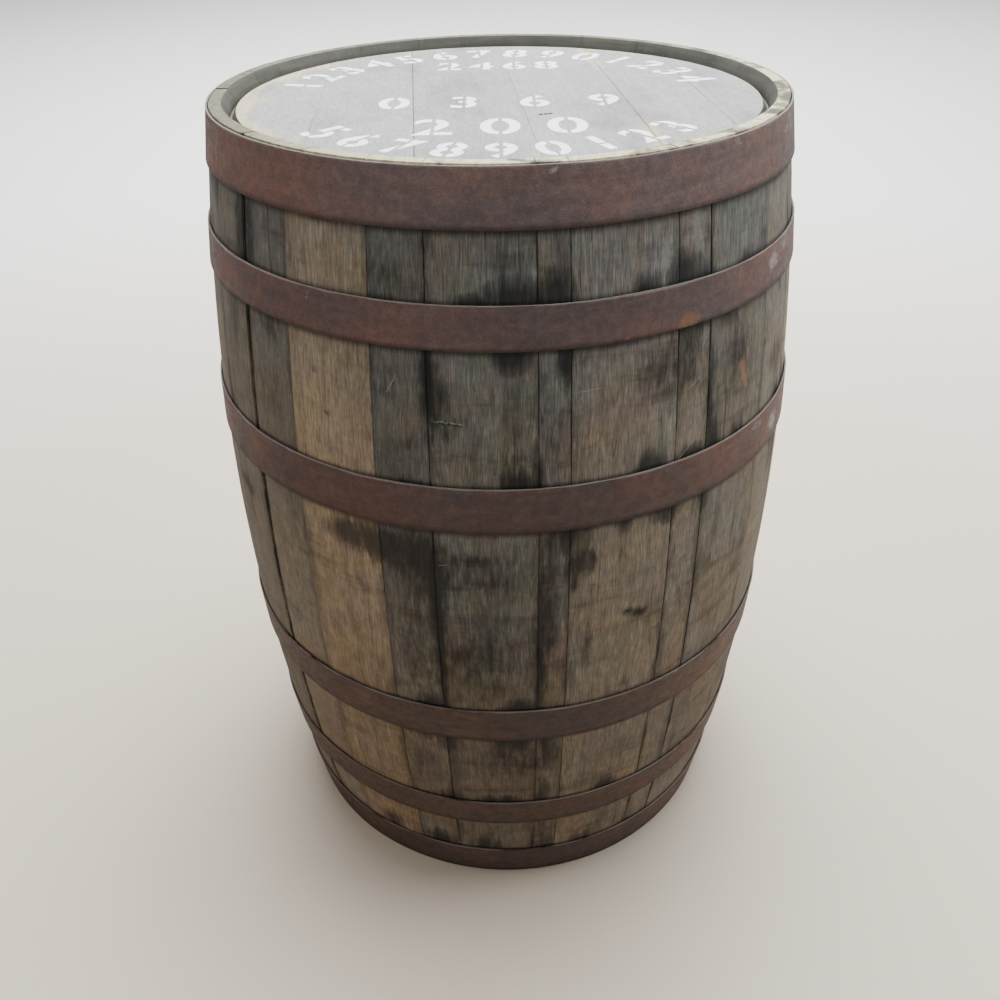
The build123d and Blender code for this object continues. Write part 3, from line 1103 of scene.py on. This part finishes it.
class Bench:
    """A node tree that nodes are put into and joined on by short calls."""

    def __init__(self, tree):
        self.tree = tree

    def feed(self, socket, value):
        """Joins a value to a socket, or sets a plain number, place or colour on it."""
        if isinstance(value, Value):
            self.tree.links.new(value.socket, socket)
        elif socket.type == "RGBA":
            socket.default_value = (*value, 1.0)
        else:
            socket.default_value = value

    def node(self, kind, inputs, **settings):
        node = self.tree.nodes.new(f"ShaderNode{kind}")
        for name, value in settings.items():
            setattr(node, name, value)
        for name, value in inputs.items():
            self.feed(node.inputs[name], value)
        return node

    def put(self, kind, inputs, output=0, **settings):
        """One output of a new node."""
        return Value(self, self.node(kind, inputs, **settings).outputs[output])

    def math(self, operation, first, second=0.0, clamp=False):
        return self.put("Math", {0: first, 1: second}, operation=operation, use_clamp=clamp)

    def mix(self, share, first, second, kind="MIX"):
        """The second colour over the first, as far as the share says."""
        return self.put("Mix", {0: share, 6: first, 7: second}, 2, data_type="RGBA", blend_type=kind)

    def coat(self, share, first, second):
        return Coat(self, self.mix(share, first, second))

    def stretch(self, vector, scale, turn=0.0, shift=(0, 0, 0)):
        inputs = {"Vector": vector, "Scale": scale, "Rotation": (0, 0, turn), "Location": shift}
        return self.put("Mapping", inputs)

    def noise(self, vector, scale, detail=2.0, roughness=0.5):
        inputs = {"Vector": vector, "Scale": scale, "Detail": detail, "Roughness": roughness}
        return self.put("TexNoise", inputs)

    def streaks(self, vector, scale, shift=(0, 0, 0), detail=2.0, roughness=0.5):
        """Noise with a scale of its own along each axis."""
        return self.noise(self.stretch(vector, scale, shift=shift), 1.0, detail, roughness)

    def noted(self, *names):
        """Numbers that the mesh keeps for each vertex."""
        return [self.put("Attribute", {}, "Fac", attribute_name=name) for name in names]

    def object_place(self):
        return self.put("TexCoord", {}, "Object")

    def parts(self, vector):
        return [Value(self, part) for part in self.node("SeparateXYZ", {0: vector}).outputs]

    def grain_place(self, seed):
        """Place on the piece's own grain map, moved to another part of the wood by a seed."""
        across, along, _ = self.parts(self.put("UVMap", {}, uv_map="grain"))
        return self.put("CombineXYZ", {0: across, 1: along, 2: seed})

    def group(self, tree, **inputs):
        """The outputs of a node group, by name."""
        node = self.node("Group", inputs, node_tree=tree)
        return {socket.name: Value(self, socket) for socket in node.outputs}


no_place = (0.0, 0.0, 0.0)


def open_group(name, **inputs):
    """An empty node group and its inputs, which are named with their start values."""
    tree = bpy.data.node_groups.new(name, "ShaderNodeTree")
    for label, start in inputs.items():
        kind = "NodeSocketVector" if isinstance(start, tuple) else "NodeSocketFloat"
        socket = tree.interface.new_socket(name=label, in_out="INPUT", socket_type=kind)
        socket.default_value = start
    bench = Bench(tree)
    given = tree.nodes.new("NodeGroupInput").outputs
    return bench, {socket.name: Value(bench, socket) for socket in given}


def close_group(bench, colours=None, **values):
    """Gives a node group its outputs: colours and values, by name."""
    outputs = {**(colours or {}), **values}
    for label in outputs:
        kind = "NodeSocketFloat" if label in values else "NodeSocketColor"
        bench.tree.interface.new_socket(name=label, in_out="OUTPUT", socket_type=kind)
    kept = bench.tree.nodes.new("NodeGroupOutput").inputs
    for label, value in outputs.items():
        bench.feed(kept[label], value)
    return bench.tree


def make_oak_fibres():
    """Grain along the second axis: fine fibres, broad streaks, pores and drying checks."""
    bench, given = open_group("oak_fibres", Vector=no_place)
    place = given["Vector"]
    sway = bench.put("CombineXYZ", {0: bench.streaks(place, (11, 6, 1)) * 0.012})
    bent = bench.put("VectorMath", {0: place, 1: sway}, operation="ADD")
    fine = bench.streaks(bent, (760, 52, 1), detail=3.0, roughness=0.70)
    streak = bench.streaks(bent, (170, 7, 1), (3, 8, 2), 3.0, 0.6)
    pore = bench.streaks(bent, (900, 60, 1), (7, 1, 5), 1.0)
    vein = bench.streaks(bent, (75, 2.4, 1), (1, 4, 9), 2.0, 0.6)
    gate = bench.streaks(place, (28, 9, 1), (5, 5, 1), 1.0)
    return close_group(
        bench,
        Fine=fine.rise(0.25, 0.75),
        Streak=streak.rise(0.25, 0.75),
        Pore=pore.rise(0.60, 0.72),
        Check=abs(vein - 0.5).rise(0.014, 0.002) * gate.rise(0.54, 0.66),
    )


def make_broken_edge():
    """A mask that is strong near an edge and frays out over a width."""
    bench, given = open_group("broken_edge", Distance=0.0, Width=0.004, Vector=no_place, Fray=60.0)
    fray = bench.noise(given["Vector"], given["Fray"], 3.0, 0.6)
    near = given["Distance"] / (given["Width"] * fray.rise(0.3, 0.75, 0.15, 1.7))
    return close_group(bench, Mask=near.rise(1.0, 0.25))


def make_cloudy():
    """Soft blotches in two sizes."""
    bench, given = open_group("cloudy", Vector=no_place, Scale=10.0)
    broad = bench.noise(given["Vector"], given["Scale"], 3.0, 0.55)
    small = bench.noise(given["Vector"], given["Scale"] * 6.5, 4.0, 0.6)
    return close_group(bench, Broad=broad.rise(0.3, 0.7), Small=small.rise(0.28, 0.72))


def make_scuffs():
    """Thin pale scratches that run at a slant."""
    bench, given = open_group("scuffs", Vector=no_place, Amount=0.5)
    place = given["Vector"]
    masks = []
    for turn, shift in ((0.42, 3.0), (-0.25, 11.0)):
        line = bench.noise(bench.stretch(place, (330, 9, 1), turn, (shift, 2, 4)), 1.0, 1.0)
        gate = bench.streaks(place, (16, 12, 1), (shift, 7, 3), 1.0)
        masks.append(line.rise(0.70, 0.76) * gate.rise(0.60, 0.70))
    return close_group(bench, Mask=bench.math("MAXIMUM", *masks) * given["Amount"])


def make_gash():
    """A line on the grain map by its place, turn, half length and half width, with a lip above it."""
    bench, given = open_group(
        "gash", Vector=no_place, Place=no_place, Turn=0.0, Reach=0.02, Width=0.001, Waver=0.002
    )
    offset = bench.put("VectorMath", {0: given["Vector"], 1: given["Place"]}, operation="SUBTRACT")
    inputs = {"Vector": offset, "Angle": given["Turn"]}
    length, across, _ = bench.parts(bench.put("VectorRotate", inputs, rotation_type="Z_AXIS"))
    across = across + (bench.noise(given["Vector"], 300.0, 3.0) - 0.5) * given["Waver"]
    ends = abs(length).rise(given["Reach"], given["Reach"] * 0.55)
    width = given["Width"]
    line, lip = [abs(across - width * shift).rise(width, width * 0.3) * ends for shift in (0.0, 1.5)]
    return close_group(bench, Line=line, Lip=lip)


oak_fibres = make_oak_fibres()
broken_edge = make_broken_edge()
cloudy = make_cloudy()
scuffs = make_scuffs()
gash = make_gash()


def edge_mask(bench, distance, width, place, fray):
    inputs = {"Distance": distance, "Width": width, "Vector": place, "Fray": fray}
    return bench.group(broken_edge, **inputs)["Mask"]


def new_material(name):
    """A material with one Principled shader, and a bench to build it on."""
    material = bpy.data.materials.new(name)
    material.use_nodes = True
    shader = material.node_tree.nodes["Principled BSDF"]
    return material, Bench(material.node_tree), shader.inputs


def lay_on(bench, shader, coat, roughness, specular, relief, depth, strength):
    """Joins a coat, its roughness and its fine relief to the shader."""
    bench.feed(shader["Base Color"], coat.colour)
    bench.feed(shader["Roughness"], roughness)
    shader["Specular IOR Level"].default_value = specular
    inputs = {"Height": relief, "Distance": depth, "Strength": strength}
    bench.feed(shader["Normal"], bench.put("Bump", inputs))


# Marks on single staves: stave, turn, height, slant in degrees, half length, half width
tears = ((4, -9.2, 0.6728, 3.0, 0.017, 0.0011),)
scratches = (
    (7, 35.6, 0.7235, -58.0, 0.012, 0.0007),
    (7, 33.2, 0.6840, -32.0, 0.010, 0.0006),
    (7, 31.8, 0.6183, -40.0, 0.017, 0.0007),
    (4, -10.9, 0.5250, -10.0, 0.006, 0.0005),
    (3, -18.5, 0.7050, -62.0, 0.012, 0.0007),
    (6, 13.5, 0.7000, -4.0, 0.014, 0.0005),
    (2, -24.0, 0.8200, -80.0, 0.010, 0.0006),
    (20, 209.0, 0.5200, -35.0, 0.020, 0.0007),
    (16, 150.0, 0.6500, 28.0, 0.016, 0.0006),
    (12, 99.0, 0.4000, 40.0, 0.022, 0.0007),
)

# Rust, knots and pale rubbed places on single staves, listed in the same way
rust_spots = ((8, 45.8, 0.6740, 70.0, 0.014, 0.0065), (8, 47.0, 0.6600, 80.0, 0.009, 0.0040))
knots = ((6, 24.2, 0.4436, 12.0, 0.0090, 0.0052), (6, 21.9, 0.4498, 0.0, 0.0045, 0.0032))
rubbed_spots = (
    (7, 33.4, 0.8170, 84.0, 0.020, 0.0075),
    (6, 27.0, 0.8050, 88.0, 0.016, 0.0060),
    (22, 235.0, 0.6350, 86.0, 0.030, 0.0080),
)

# How those marks are drawn: line or lip, waver, share, colour and whether it multiplies the wood
mark_kinds = (
    (rubbed_spots, "Line", 0.014, 0.35, (0.27, 0.27, 0.245), False),
    (knots, "Line", 0.012, 0.80, (0.22, 0.21, 0.20), True),
    (rust_spots, "Line", 0.010, 0.55, (0.27, 0.135, 0.070), False),
    (tears, "Line", 0.0090, 0.9, (0.012, 0.011, 0.010), False),
    (tears, "Lip", 0.0090, 0.45, (0.36, 0.34, 0.29), False),
    (scratches, "Line", 0.003, 0.60, (0.27, 0.265, 0.245), False),
)


def find_mark(bench, grain, mark, waver, label):
    """The mask of one mark of the lists above, kept to its own stave."""
    number, turn, height, slant, reach, width = mark
    start = first_joint + sum(stave_widths[: number - 1])
    aside = radians(turn - start - stave_widths[number - 1] / 2) * bilge_radius
    place = (aside, height, 0)
    found = bench.group(
        gash, Vector=grain, Place=place, Turn=radians(slant), Reach=reach, Width=width, Waver=waver
    )
    (stave_number,) = bench.noted("number")
    same = bench.put("Math", {0: stave_number, 1: number, 2: 0.1}, operation="COMPARE")
    return found[label] * same


def make_stave_oak():
    material, bench, shader = new_material("weathered_stave_oak")
    seed, tone, shade, stain, soot = bench.noted("seed", "tone", "shade", "stain", "soot")
    joint, rim, chime, grime_width = bench.noted("joint", "rim", "chime", "grime")
    under_hoop, over_hoop = bench.noted("under_hoop", "over_hoop")
    place = bench.object_place()
    right, back, up = bench.parts(place)
    grain = bench.grain_place(seed)
    fibres = bench.group(oak_fibres, Vector=grain)
    fine, streak, pore, check = (fibres[name] for name in ("Fine", "Streak", "Pore", "Check"))
    blotch = bench.group(cloudy, Vector=bench.stretch(grain, (1, 0.6, 1)), Scale=16.0)
    tint = bench.group(cloudy, Vector=bench.stretch(grain, (1, 1.4, 1), shift=(4, 9, 3)), Scale=24.0)
    crown = up.rise(0.60, 0.80)
    foot = up.rise(0.66, 0.24)

    # Grey weathered oak towards tan oak, with green and purple casts in patches
    swing = (streak - 0.5) * 0.16
    sway = (blotch["Broad"] - 0.5) * 0.42
    bleach = crown * (tone * -0.45)
    tan_share = bench.math("ADD", tone + swing, sway + bleach, True)
    grey = bench.mix(tint["Broad"], (0.117, 0.122, 0.099), (0.130, 0.115, 0.106))
    tan = bench.mix(tint["Broad"], (0.262, 0.194, 0.108), (0.236, 0.170, 0.114))
    wood = bench.coat(tan_share, grey, tan)
    ochre = bench.streaks(grain, (8, 34, 1), (7, 3, 5), 3.0, 0.6)
    wood.over(ochre.rise(0.54, 0.72, 0.0, 0.70) * tan_share.rise(0.1, 0.6), (0.255, 0.182, 0.096))
    wood.vary(blotch["Broad"], 1.12, 0.90)
    wood.vary(blotch["Small"], 0.91, 1.09)
    wood.vary(tint["Small"], 0.95, 1.05)
    wood.vary(streak, 0.93, 1.07)
    wood.vary(fine, 0.68, 1.33)
    wood.times(pore * 0.45, (0.45, 0.45, 0.45))
    silver = fine.rise(0.72, 0.95) * blotch["Small"].rise(0.3, 0.9)
    wood.over(silver * 0.50, (0.27, 0.265, 0.245))

    # Soot and damp in soft smears, some upright and some across
    upright = bench.streaks(grain, (24, 6, 1), (2, 6, 1), 4.0, 0.6)
    wood.times(upright.rise(0.52, 0.78), (0.44, 0.45, 0.46))
    level = bench.streaks(grain, (9, 40, 1), (4, 1, 8), 4.0, 0.62)
    wood.times(level.rise(0.52, 0.76), (0.55, 0.54, 0.53))
    ragged = bench.streaks(grain, (190, 48, 1), (8, 8, 1), 3.0, 0.6) - 0.5
    sooted = soot + ragged * soot.rise(0.0, 0.4, 0.0, 1.3)
    wood.times(sooted.rise(0.05, 0.95), (0.20, 0.20, 0.205))
    wood.times(1.0, shade)
    rubs = bench.group(scuffs, Vector=grain, Amount=0.40)
    wood.over(rubs["Mask"], (0.26, 0.25, 0.22))

    # Painted light: greyer and paler towards the crown of the barrel, where light falls from above
    wood.times(crown, (1.02, 1.06, 1.13))
    # Painted shade: browner and darker towards its foot
    wood.times(foot, (0.67, 0.60, 0.54))
    # Painted bounce light from the floor: paler just above it
    wood.times(up.rise(0.15, 0.05), (1.26, 1.28, 1.36))

    # Grime in the joints, painted shadow under and just over the hoops, and iron stains with frayed tips
    crack = edge_mask(bench, joint, grime_width, grain, 40.0)
    halo = edge_mask(bench, joint, 0.010, grain, 16.0)
    gated = bench.streaks(grain, (4, 9, 1), (3, 3, 7))
    wood.times(halo * gated.rise(0.35, 0.65, 0.10, 0.80), (0.50, 0.50, 0.50))
    packed = crack * grime_width.rise(0.0006, 0.0012, 0.28, 0.95)
    wood.times(packed * gated.rise(0.30, 0.60, 0.35, 1.0), (0.12, 0.115, 0.11))
    # Painted shadow under each hoop, and a fainter one just over it
    wood.times(under_hoop.rise(0.0075, 0.0), (0.26, 0.25, 0.24))
    wood.times(over_hoop.rise(0.005, 0.0, 0.0, 0.6), (0.45, 0.44, 0.43))
    tips = bench.streaks(grain, (240, 20, 1), (9, 2, 6), 2.0, 0.6)
    clumps = bench.streaks(grain, (90, 30, 1), (6, 3, 2), 3.0, 0.6)
    frayed = stain + (tips * 0.9 + clumps * 1.3 - 1.1) * stain.rise(0.0, 0.30)
    wood.times(frayed.rise(0.06, 0.56), (0.48, 0.49, 0.50))
    wood.times(frayed.rise(0.45, 0.95), (0.40, 0.405, 0.415))
    wood.times(check * 0.60, (0.25, 0.24, 0.23))
    for marks, label, waver, share, mark_colour, multiplies in mark_kinds:
        lay = wood.times if multiplies else wood.over
        for mark in marks:
            lay(find_mark(bench, grain, mark, waver, label) * share, mark_colour)

    # Painted shade inside the chime: dark grey with level streaks; its sawn ends are olive, and cream
    # where they are rubbed
    chime_streaks = bench.streaks(place, (14, 14, 160), detail=3.0, roughness=0.6)
    # Painted shade: the dark colour laid over the inside of the chime
    chime_shade = bench.mix(chime_streaks.rise(0.3, 0.7), (0.040, 0.041, 0.036), (0.066, 0.066, 0.056))
    wood.over(chime * 0.85, chime_shade)
    ends = bench.group(cloudy, Vector=place, Scale=30.0)
    cream = ends["Broad"].rise(0.0, 0.62) * (right - back).rise(-0.10, 0.26, 0.12, 1.0)
    sawn = bench.coat(cream, (0.088, 0.087, 0.063), (0.500, 0.455, 0.290))
    sawn.vary(ends["Small"], 0.80, 1.22)
    sawn.times(crack * 0.45, (0.35, 0.33, 0.30))
    wood.over(rim, sawn.colour)
    roughness = fine.rise(0.0, 1.0, 0.66, 0.88)
    lay_on(bench, shader, wood, roughness, 0.25, fine - pore * 0.6 - check * 1.6, 0.00025, 0.7)
    return material


def make_rusted_steel():
    material, bench, shader = new_material("rusted_hoop_steel")
    edge, upper, worn, bloom = bench.noted("edge", "upper", "worn", "bloom")
    place = bench.object_place()
    right, _, up = bench.parts(place)
    mottle = bench.group(cloudy, Vector=bench.stretch(place, (1, 1, 1.6)), Scale=15.0)
    speck = bench.group(cloudy, Vector=place, Scale=130.0)
    drag = bench.streaks(place, (16, 16, 150), detail=4.0, roughness=0.62)

    # Red and purple-brown rust in patches, dragged along the strip
    rust = bench.coat(mottle["Broad"], (0.090, 0.067, 0.066), (0.130, 0.076, 0.064))
    rust.over(mottle["Small"].rise(0.35, 0.95, 0.0, 0.22), (0.142, 0.084, 0.068))
    rust.over(mottle["Small"].rise(0.50, 0.0, 0.0, 0.30), (0.066, 0.052, 0.051))
    rust.times(1.0, drag.rise(0.28, 0.72, 0.91, 1.09))
    rust.vary(speck["Broad"], 0.90, 1.10)
    rust.vary(speck["Small"], 0.86, 1.14)
    flecks = speck["Broad"].rise(0.70, 1.0) * mottle["Small"].rise(0.6, 1.0)
    rust.over(flecks * 0.25, (0.210, 0.110, 0.066))

    # Painted light and shade: darker at the foot, redder on the left, greyer at the crown, ruddy low on
    # the right
    rust.times(up.rise(0.80, 0.44), (0.56, 0.53, 0.46))
    # Painted bounce light from the floor: paler and bluer on the lowest hoop
    rust.times(up.rise(0.12, 0.0), (1.15, 1.25, 1.35))
    rust.times(right.rise(-0.04, -0.24), (0.90, 0.74, 0.67))
    crown = up.rise(0.77, 0.86)
    rust.times(crown, (1.24, 1.29, 1.31))
    # Painted shade: the top hoop darker at its sides
    rust.times(crown * abs(right).rise(0.12, 0.26), (0.88, 0.87, 0.85))
    rust.times(right.rise(0.12, 0.25) * up.rise(0.68, 0.60), (1.28, 1.16, 1.08))

    # Painted shade on the lower edge, a pale upper edge, bare patches and fresh orange rust
    rust.times(upper.rise(-0.72, -1.0), (0.45, 0.42, 0.40))
    # The pale upper edge is worn bare steel and partly painted highlight, so it is kept to the upper side
    bare = edge_mask(bench, edge, 0.0013, place, 30.0)
    rust.over(bare * upper.rise(0.2, 0.7, 0.0, 0.72), (0.205, 0.182, 0.165))
    patchy = speck["Small"] * 0.5 + mottle["Small"] * 0.7 - 0.6
    grazed = (worn + patchy).rise(0.25, 0.95, 0.0, 0.72)
    rust.over(grazed * worn.rise(0.0, 0.2), (0.30, 0.28, 0.265))
    fresh_rust = (bloom + patchy).rise(0.10, 1.10, 0.0, 0.62)
    rust.over(fresh_rust * bloom.rise(0.0, 0.2), (0.25, 0.115, 0.052))
    roughness = mottle["Small"].rise(0.0, 1.0, 0.60, 0.78)
    lay_on(bench, shader, rust, roughness, 0.22, speck["Small"] * 0.6 + mottle["Small"], 0.0004, 0.5)
    return material


def make_painted_boards():
    """Grey paint on the boards of the head, thin over the grain, smeared and rubbed."""
    bench, given = open_group("painted_boards", Vector=no_place)
    place = given["Vector"]
    mottle = bench.group(cloudy, Vector=place, Scale=11.0)
    grain = bench.stretch(place, (1, 1, 0), -radians(board_joints["top"][0]))
    fibres = bench.group(oak_fibres, Vector=grain)
    paint = bench.coat(mottle["Broad"], (0.250, 0.253, 0.246), (0.285, 0.288, 0.279))
    paint.over(fibres["Streak"] * 0.45, (0.345, 0.347, 0.336))
    paint.vary(fibres["Fine"], 0.80, 1.16)
    paint.over(fibres["Pore"] * 0.38, (0.12, 0.12, 0.118))
    paint.over(mottle["Small"].rise(0.62, 1.0, 0.0, 0.30), (0.40, 0.40, 0.385))
    smear = bench.streaks(grain, (13, 5, 1), (2, 7, 3), 4.0, 0.65)
    paint.times(smear.rise(0.48, 0.78), (0.62, 0.61, 0.58))
    grit = bench.streaks(grain, (230, 120, 1), (5, 2, 8), 2.0, 0.6)
    grit = grit.rise(0.68, 0.76) * smear.rise(0.42, 0.62)
    paint.times(grit * 0.7, (0.40, 0.37, 0.33))
    rubs = bench.group(scuffs, Vector=grain, Amount=0.55)
    paint.over(rubs["Mask"], (0.52, 0.51, 0.48))
    return close_group(bench, {"Paint": paint.colour}, Streak=fibres["Streak"], Small=mottle["Small"])


painted_boards = make_painted_boards()


def make_head_paint():
    material, bench, shader = new_material("painted_head_boards")
    joint, border, shade, seam, flaked = bench.noted("joint", "border", "shade", "seam", "flaked")
    place = bench.object_place()
    right, back, _ = bench.parts(place)
    boards = bench.group(painted_boards, Vector=place)
    paint = Coat(bench, boards["Paint"])
    paint.times(1.0, shade)

    # Bare wood at the border, most of all on the left, and along the ends of the flaked joint
    bare = bench.mix(boards["Streak"], (0.36, 0.300, 0.190), (0.53, 0.460, 0.310))
    patchy = bench.group(cloudy, Vector=place, Scale=5.0)["Broad"]
    exposed = bench.math("MAXIMUM", patchy.rise(0.55, 0.95, 0.0, 0.25), right.rise(-0.13, -0.22))
    paint.over(edge_mask(bench, border, 0.027, place, 34.0) * (exposed * 0.92), bare)
    peeled = flaked * abs(back).rise(0.09, 0.17)
    paint.over(edge_mask(bench, joint, 0.012, place, 42.0) * peeled, bare)
    paint.times(joint.rise(0.0011, 0.0003) * seam, (0.52, 0.51, 0.50))
    # Painted shade: near black on the bevel and groove beyond the painted face
    paint.over(border.rise(0.0, -0.0006, 0.0, 0.9), (0.050, 0.052, 0.058))
    roughness = boards["Small"].rise(0.0, 1.0, 0.55, 0.70)
    lay_on(bench, shader, paint, roughness, 0.2, boards["Streak"] + boards["Small"], 0.0003, 0.5)
    return material


def make_stencil_paint():
    material, bench, shader = new_material("stencil_white")
    place = bench.object_place()
    boards = bench.group(painted_boards, Vector=place)
    worn = bench.group(cloudy, Vector=place, Scale=60.0)
    thin = worn["Small"].rise(0.70, 0.95) * boards["Streak"].rise(0.4, 0.8)
    paint = bench.coat(worn["Broad"], (0.94, 0.94, 0.93), (0.88, 0.88, 0.86))
    paint.over(thin * 0.8, boards["Paint"])
    roughness = worn["Small"].rise(0.0, 1.0, 0.50, 0.65)
    lay_on(bench, shader, paint, roughness, 0.2, boards["Streak"], 0.0002, 0.5)
    return material


def make_plain_oak(name, light, dark, soaked=False):
    """Bare oak on Object coordinates, for the pieces that are seldom seen. The bung's rim is soaked."""
    material, bench, shader = new_material(name)
    place = bench.object_place()
    fibres = bench.group(oak_fibres, Vector=place)
    fine, pore = fibres["Fine"], fibres["Pore"]
    blotch = bench.group(cloudy, Vector=place, Scale=9.0)
    wood = bench.coat(fibres["Streak"], light, dark)
    wood.over(fine.rise(0.5, 0.0) * 0.55, dark)
    wood.over(pore * 0.4, (0.05, 0.04, 0.03))
    wood.over(blotch["Broad"].rise(0.55, 1.0, 0.0, 0.5), (0.07, 0.055, 0.042))
    if soaked:
        (axis_gap,) = bench.noted("axis_gap")
        rim_gap = bench.math("SUBTRACT", 0.0255, axis_gap)
        wood.over(edge_mask(bench, rim_gap, 0.0075, place, 120.0) * 0.75, (0.052, 0.034, 0.026))
    lay_on(bench, shader, wood, fine.rise(0.0, 1.0, 0.58, 0.80), 0.3, fine - pore, 0.0005, 0.7)
    return material


def make_rivet_steel(name, brightness):
    material, bench, shader = new_material(name)
    mottle = bench.group(cloudy, Vector=bench.object_place(), Scale=90.0)
    rust = bench.coat(mottle["Broad"], (0.075, 0.048, 0.042), (0.150, 0.080, 0.056))
    rust.over(mottle["Small"].rise(0.6, 1.0, 0.0, 0.6), (0.24, 0.20, 0.18))
    rust.times(1.0, (brightness, brightness, brightness))
    roughness = mottle["Small"].rise(0.0, 1.0, 0.45, 0.7)
    lay_on(bench, shader, rust, roughness, 0.5, mottle["Small"], 0.0004, 0.6)
    return material


def make_rush():
    material, bench, shader = new_material("dried_rush")
    leaf = bench.streaks(bench.object_place(), (40, 40, 900), detail=3.0, roughness=0.6)
    reed = bench.coat(leaf.rise(0.3, 0.7), (0.075, 0.060, 0.042), (0.125, 0.102, 0.070))
    lay_on(bench, shader, reed, leaf.rise(0.3, 0.7, 0.6, 0.85), 0.5, leaf, 0.0004, 0.7)
    return material


def finish_piece(piece, material, body="cask"):
    """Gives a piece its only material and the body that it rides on."""
    piece.data.materials.clear()
    piece.data.materials.append(material)
    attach(piece, body)


def finish_node(name, material):
    """Gives a CAD node a better material in its own slots."""
    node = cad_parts[name]
    if not node.material_slots:
        node.data.materials.append(material)
    for slot in node.material_slots:
        slot.material = material


# Putting the barrel together

stave_oak = make_stave_oak()
rusted_steel = make_rusted_steel()
head_paint = make_head_paint()
stencil_paint = make_stencil_paint()
head_oak = make_plain_oak("bare_head_oak", (0.24, 0.18, 0.12), (0.12, 0.092, 0.066))
bung_wood = make_plain_oak("turned_bung_wood", (0.46, 0.33, 0.20), (0.33, 0.22, 0.125), soaked=True)
dowel_wood = make_plain_oak("dowel_wood", (0.38, 0.27, 0.16), (0.26, 0.18, 0.10))
rivet_steel = make_rivet_steel("rusted_rivet_steel", 1.0)
tack_steel = make_rivet_steel("dark_tack_steel", 0.22)
rush = make_rush()

profile = make_stave_profile()
joint_turn = first_joint
for number, width in enumerate(stave_widths, start=1):
    stave = make_stave(profile, number, joint_turn, width)
    finish_piece(stave, stave_oak)
    joint_turn += width
discard(profile)

for number, name in enumerate(hoop_widths):
    hoop = make_hoop(name, lap_swing if number % 2 else -lap_swing)
    finish_piece(hoop, rusted_steel)

for end_name, material, slot_name in (
    ("top", head_paint, "painted_head"),
    ("bottom", head_oak, "head_oak"),
):
    for board in make_head(end_name):
        finish_piece(board, material)

finish_piece(make_marks(), stencil_paint)
finish_piece(make_tacks(), tack_steel)
finish_piece(make_bung(), bung_wood, "bung")

finish_node("hoop_rivets", rivet_steel)
for end_name in board_joints:
    finish_node(f"{end_name}_head_dowels", dowel_wood)
    finish_node(f"{end_name}_rush_seal", rush)

# Studio: pale floor, soft light and the photo's point of view

fresh()
bpy.ops.mesh.primitive_circle_add(vertices=96, radius=14, fill_type="NGON", location=(0, 0, 0))
floor = bpy.context.object
floor.name = "floor"
floor_material, bench, shader = new_material("pale_floor")
# Warmer and darker near the barrel; paler far off, where it is painted light on the far floor
from_barrel = bench.put("VectorMath", {0: bench.object_place()}, "Value", operation="LENGTH")
floor_tone = bench.mix(from_barrel.rise(0.6, 3.0), (0.62, 0.54, 0.43), (0.90, 0.89, 0.87))
bench.feed(shader["Base Color"], floor_tone)
shader["Roughness"].default_value = 0.6
floor.data.materials.append(floor_material)

world = bpy.data.worlds.new("studio")
bpy.context.scene.world = world
world.use_nodes = True
world.node_tree.nodes["Background"].inputs["Color"].default_value = (0.96, 0.97, 1.0, 1.0)
world.node_tree.nodes["Background"].inputs["Strength"].default_value = 0.42

# Lights: name, place, what it points at, size, power and tint
cool, warm, white = (0.96, 0.98, 1.0), (1.0, 0.86, 0.74), (1.0, 1.0, 1.0)
studio_lights = (
    ("ceiling", (0.2, 0.6, 2.9), (0, 0, 0.6), 2.4, 170, cool),
    ("over_head", (0, 0.15, 2.2), (0, 0, 0.88), 0.7, 22, cool),
    ("far_floor", (0, 3.5, 4.5), (0, 8.0, 0), 5.0, 880, white),
    ("left_side", (-2.4, -0.3, 2.1), (0, 0, 0.8), 1.4, 15, warm),
    ("right_side", (2.4, 0.0, 2.0), (0, 0, 0.8), 1.4, 36, white),
)
for name, place, target, size, power, light_tint in studio_lights:
    lamp = bpy.data.lights.new(name, "AREA")
    lamp.shape = "DISK"
    lamp.size = size
    lamp.energy = power
    lamp.color = light_tint
    light = bpy.data.objects.new(name, lamp)
    light.location = place
    light.rotation_euler = (Vector(place) - Vector(target)).to_track_quat("Z", "Y").to_euler()
    bpy.context.collection.objects.link(light)

# The camera that was fitted to the photo, which is taken to be 1000 pixels wide
photo_width = 1000
focal_length_in_pixels = 957.3
camera_place = (-0.0062, -1.0169, 1.0893)
camera_dip = 34.92
camera_roll = -1.03
camera_data = bpy.data.cameras.new("photo_camera")
camera_data.sensor_width = 36.0
camera_data.lens = focal_length_in_pixels / photo_width * camera_data.sensor_width
camera = bpy.data.objects.new("photo_camera", camera_data)
camera.matrix_world = (
    Matrix.Translation(camera_place)
    @ Matrix.Rotation(radians(90 - camera_dip), 4, "X")
    @ Matrix.Rotation(radians(camera_roll), 4, "Z")
)
bpy.context.collection.objects.link(camera)
bpy.context.scene.camera = camera

fresh()
bpy.context.view_layer.update()
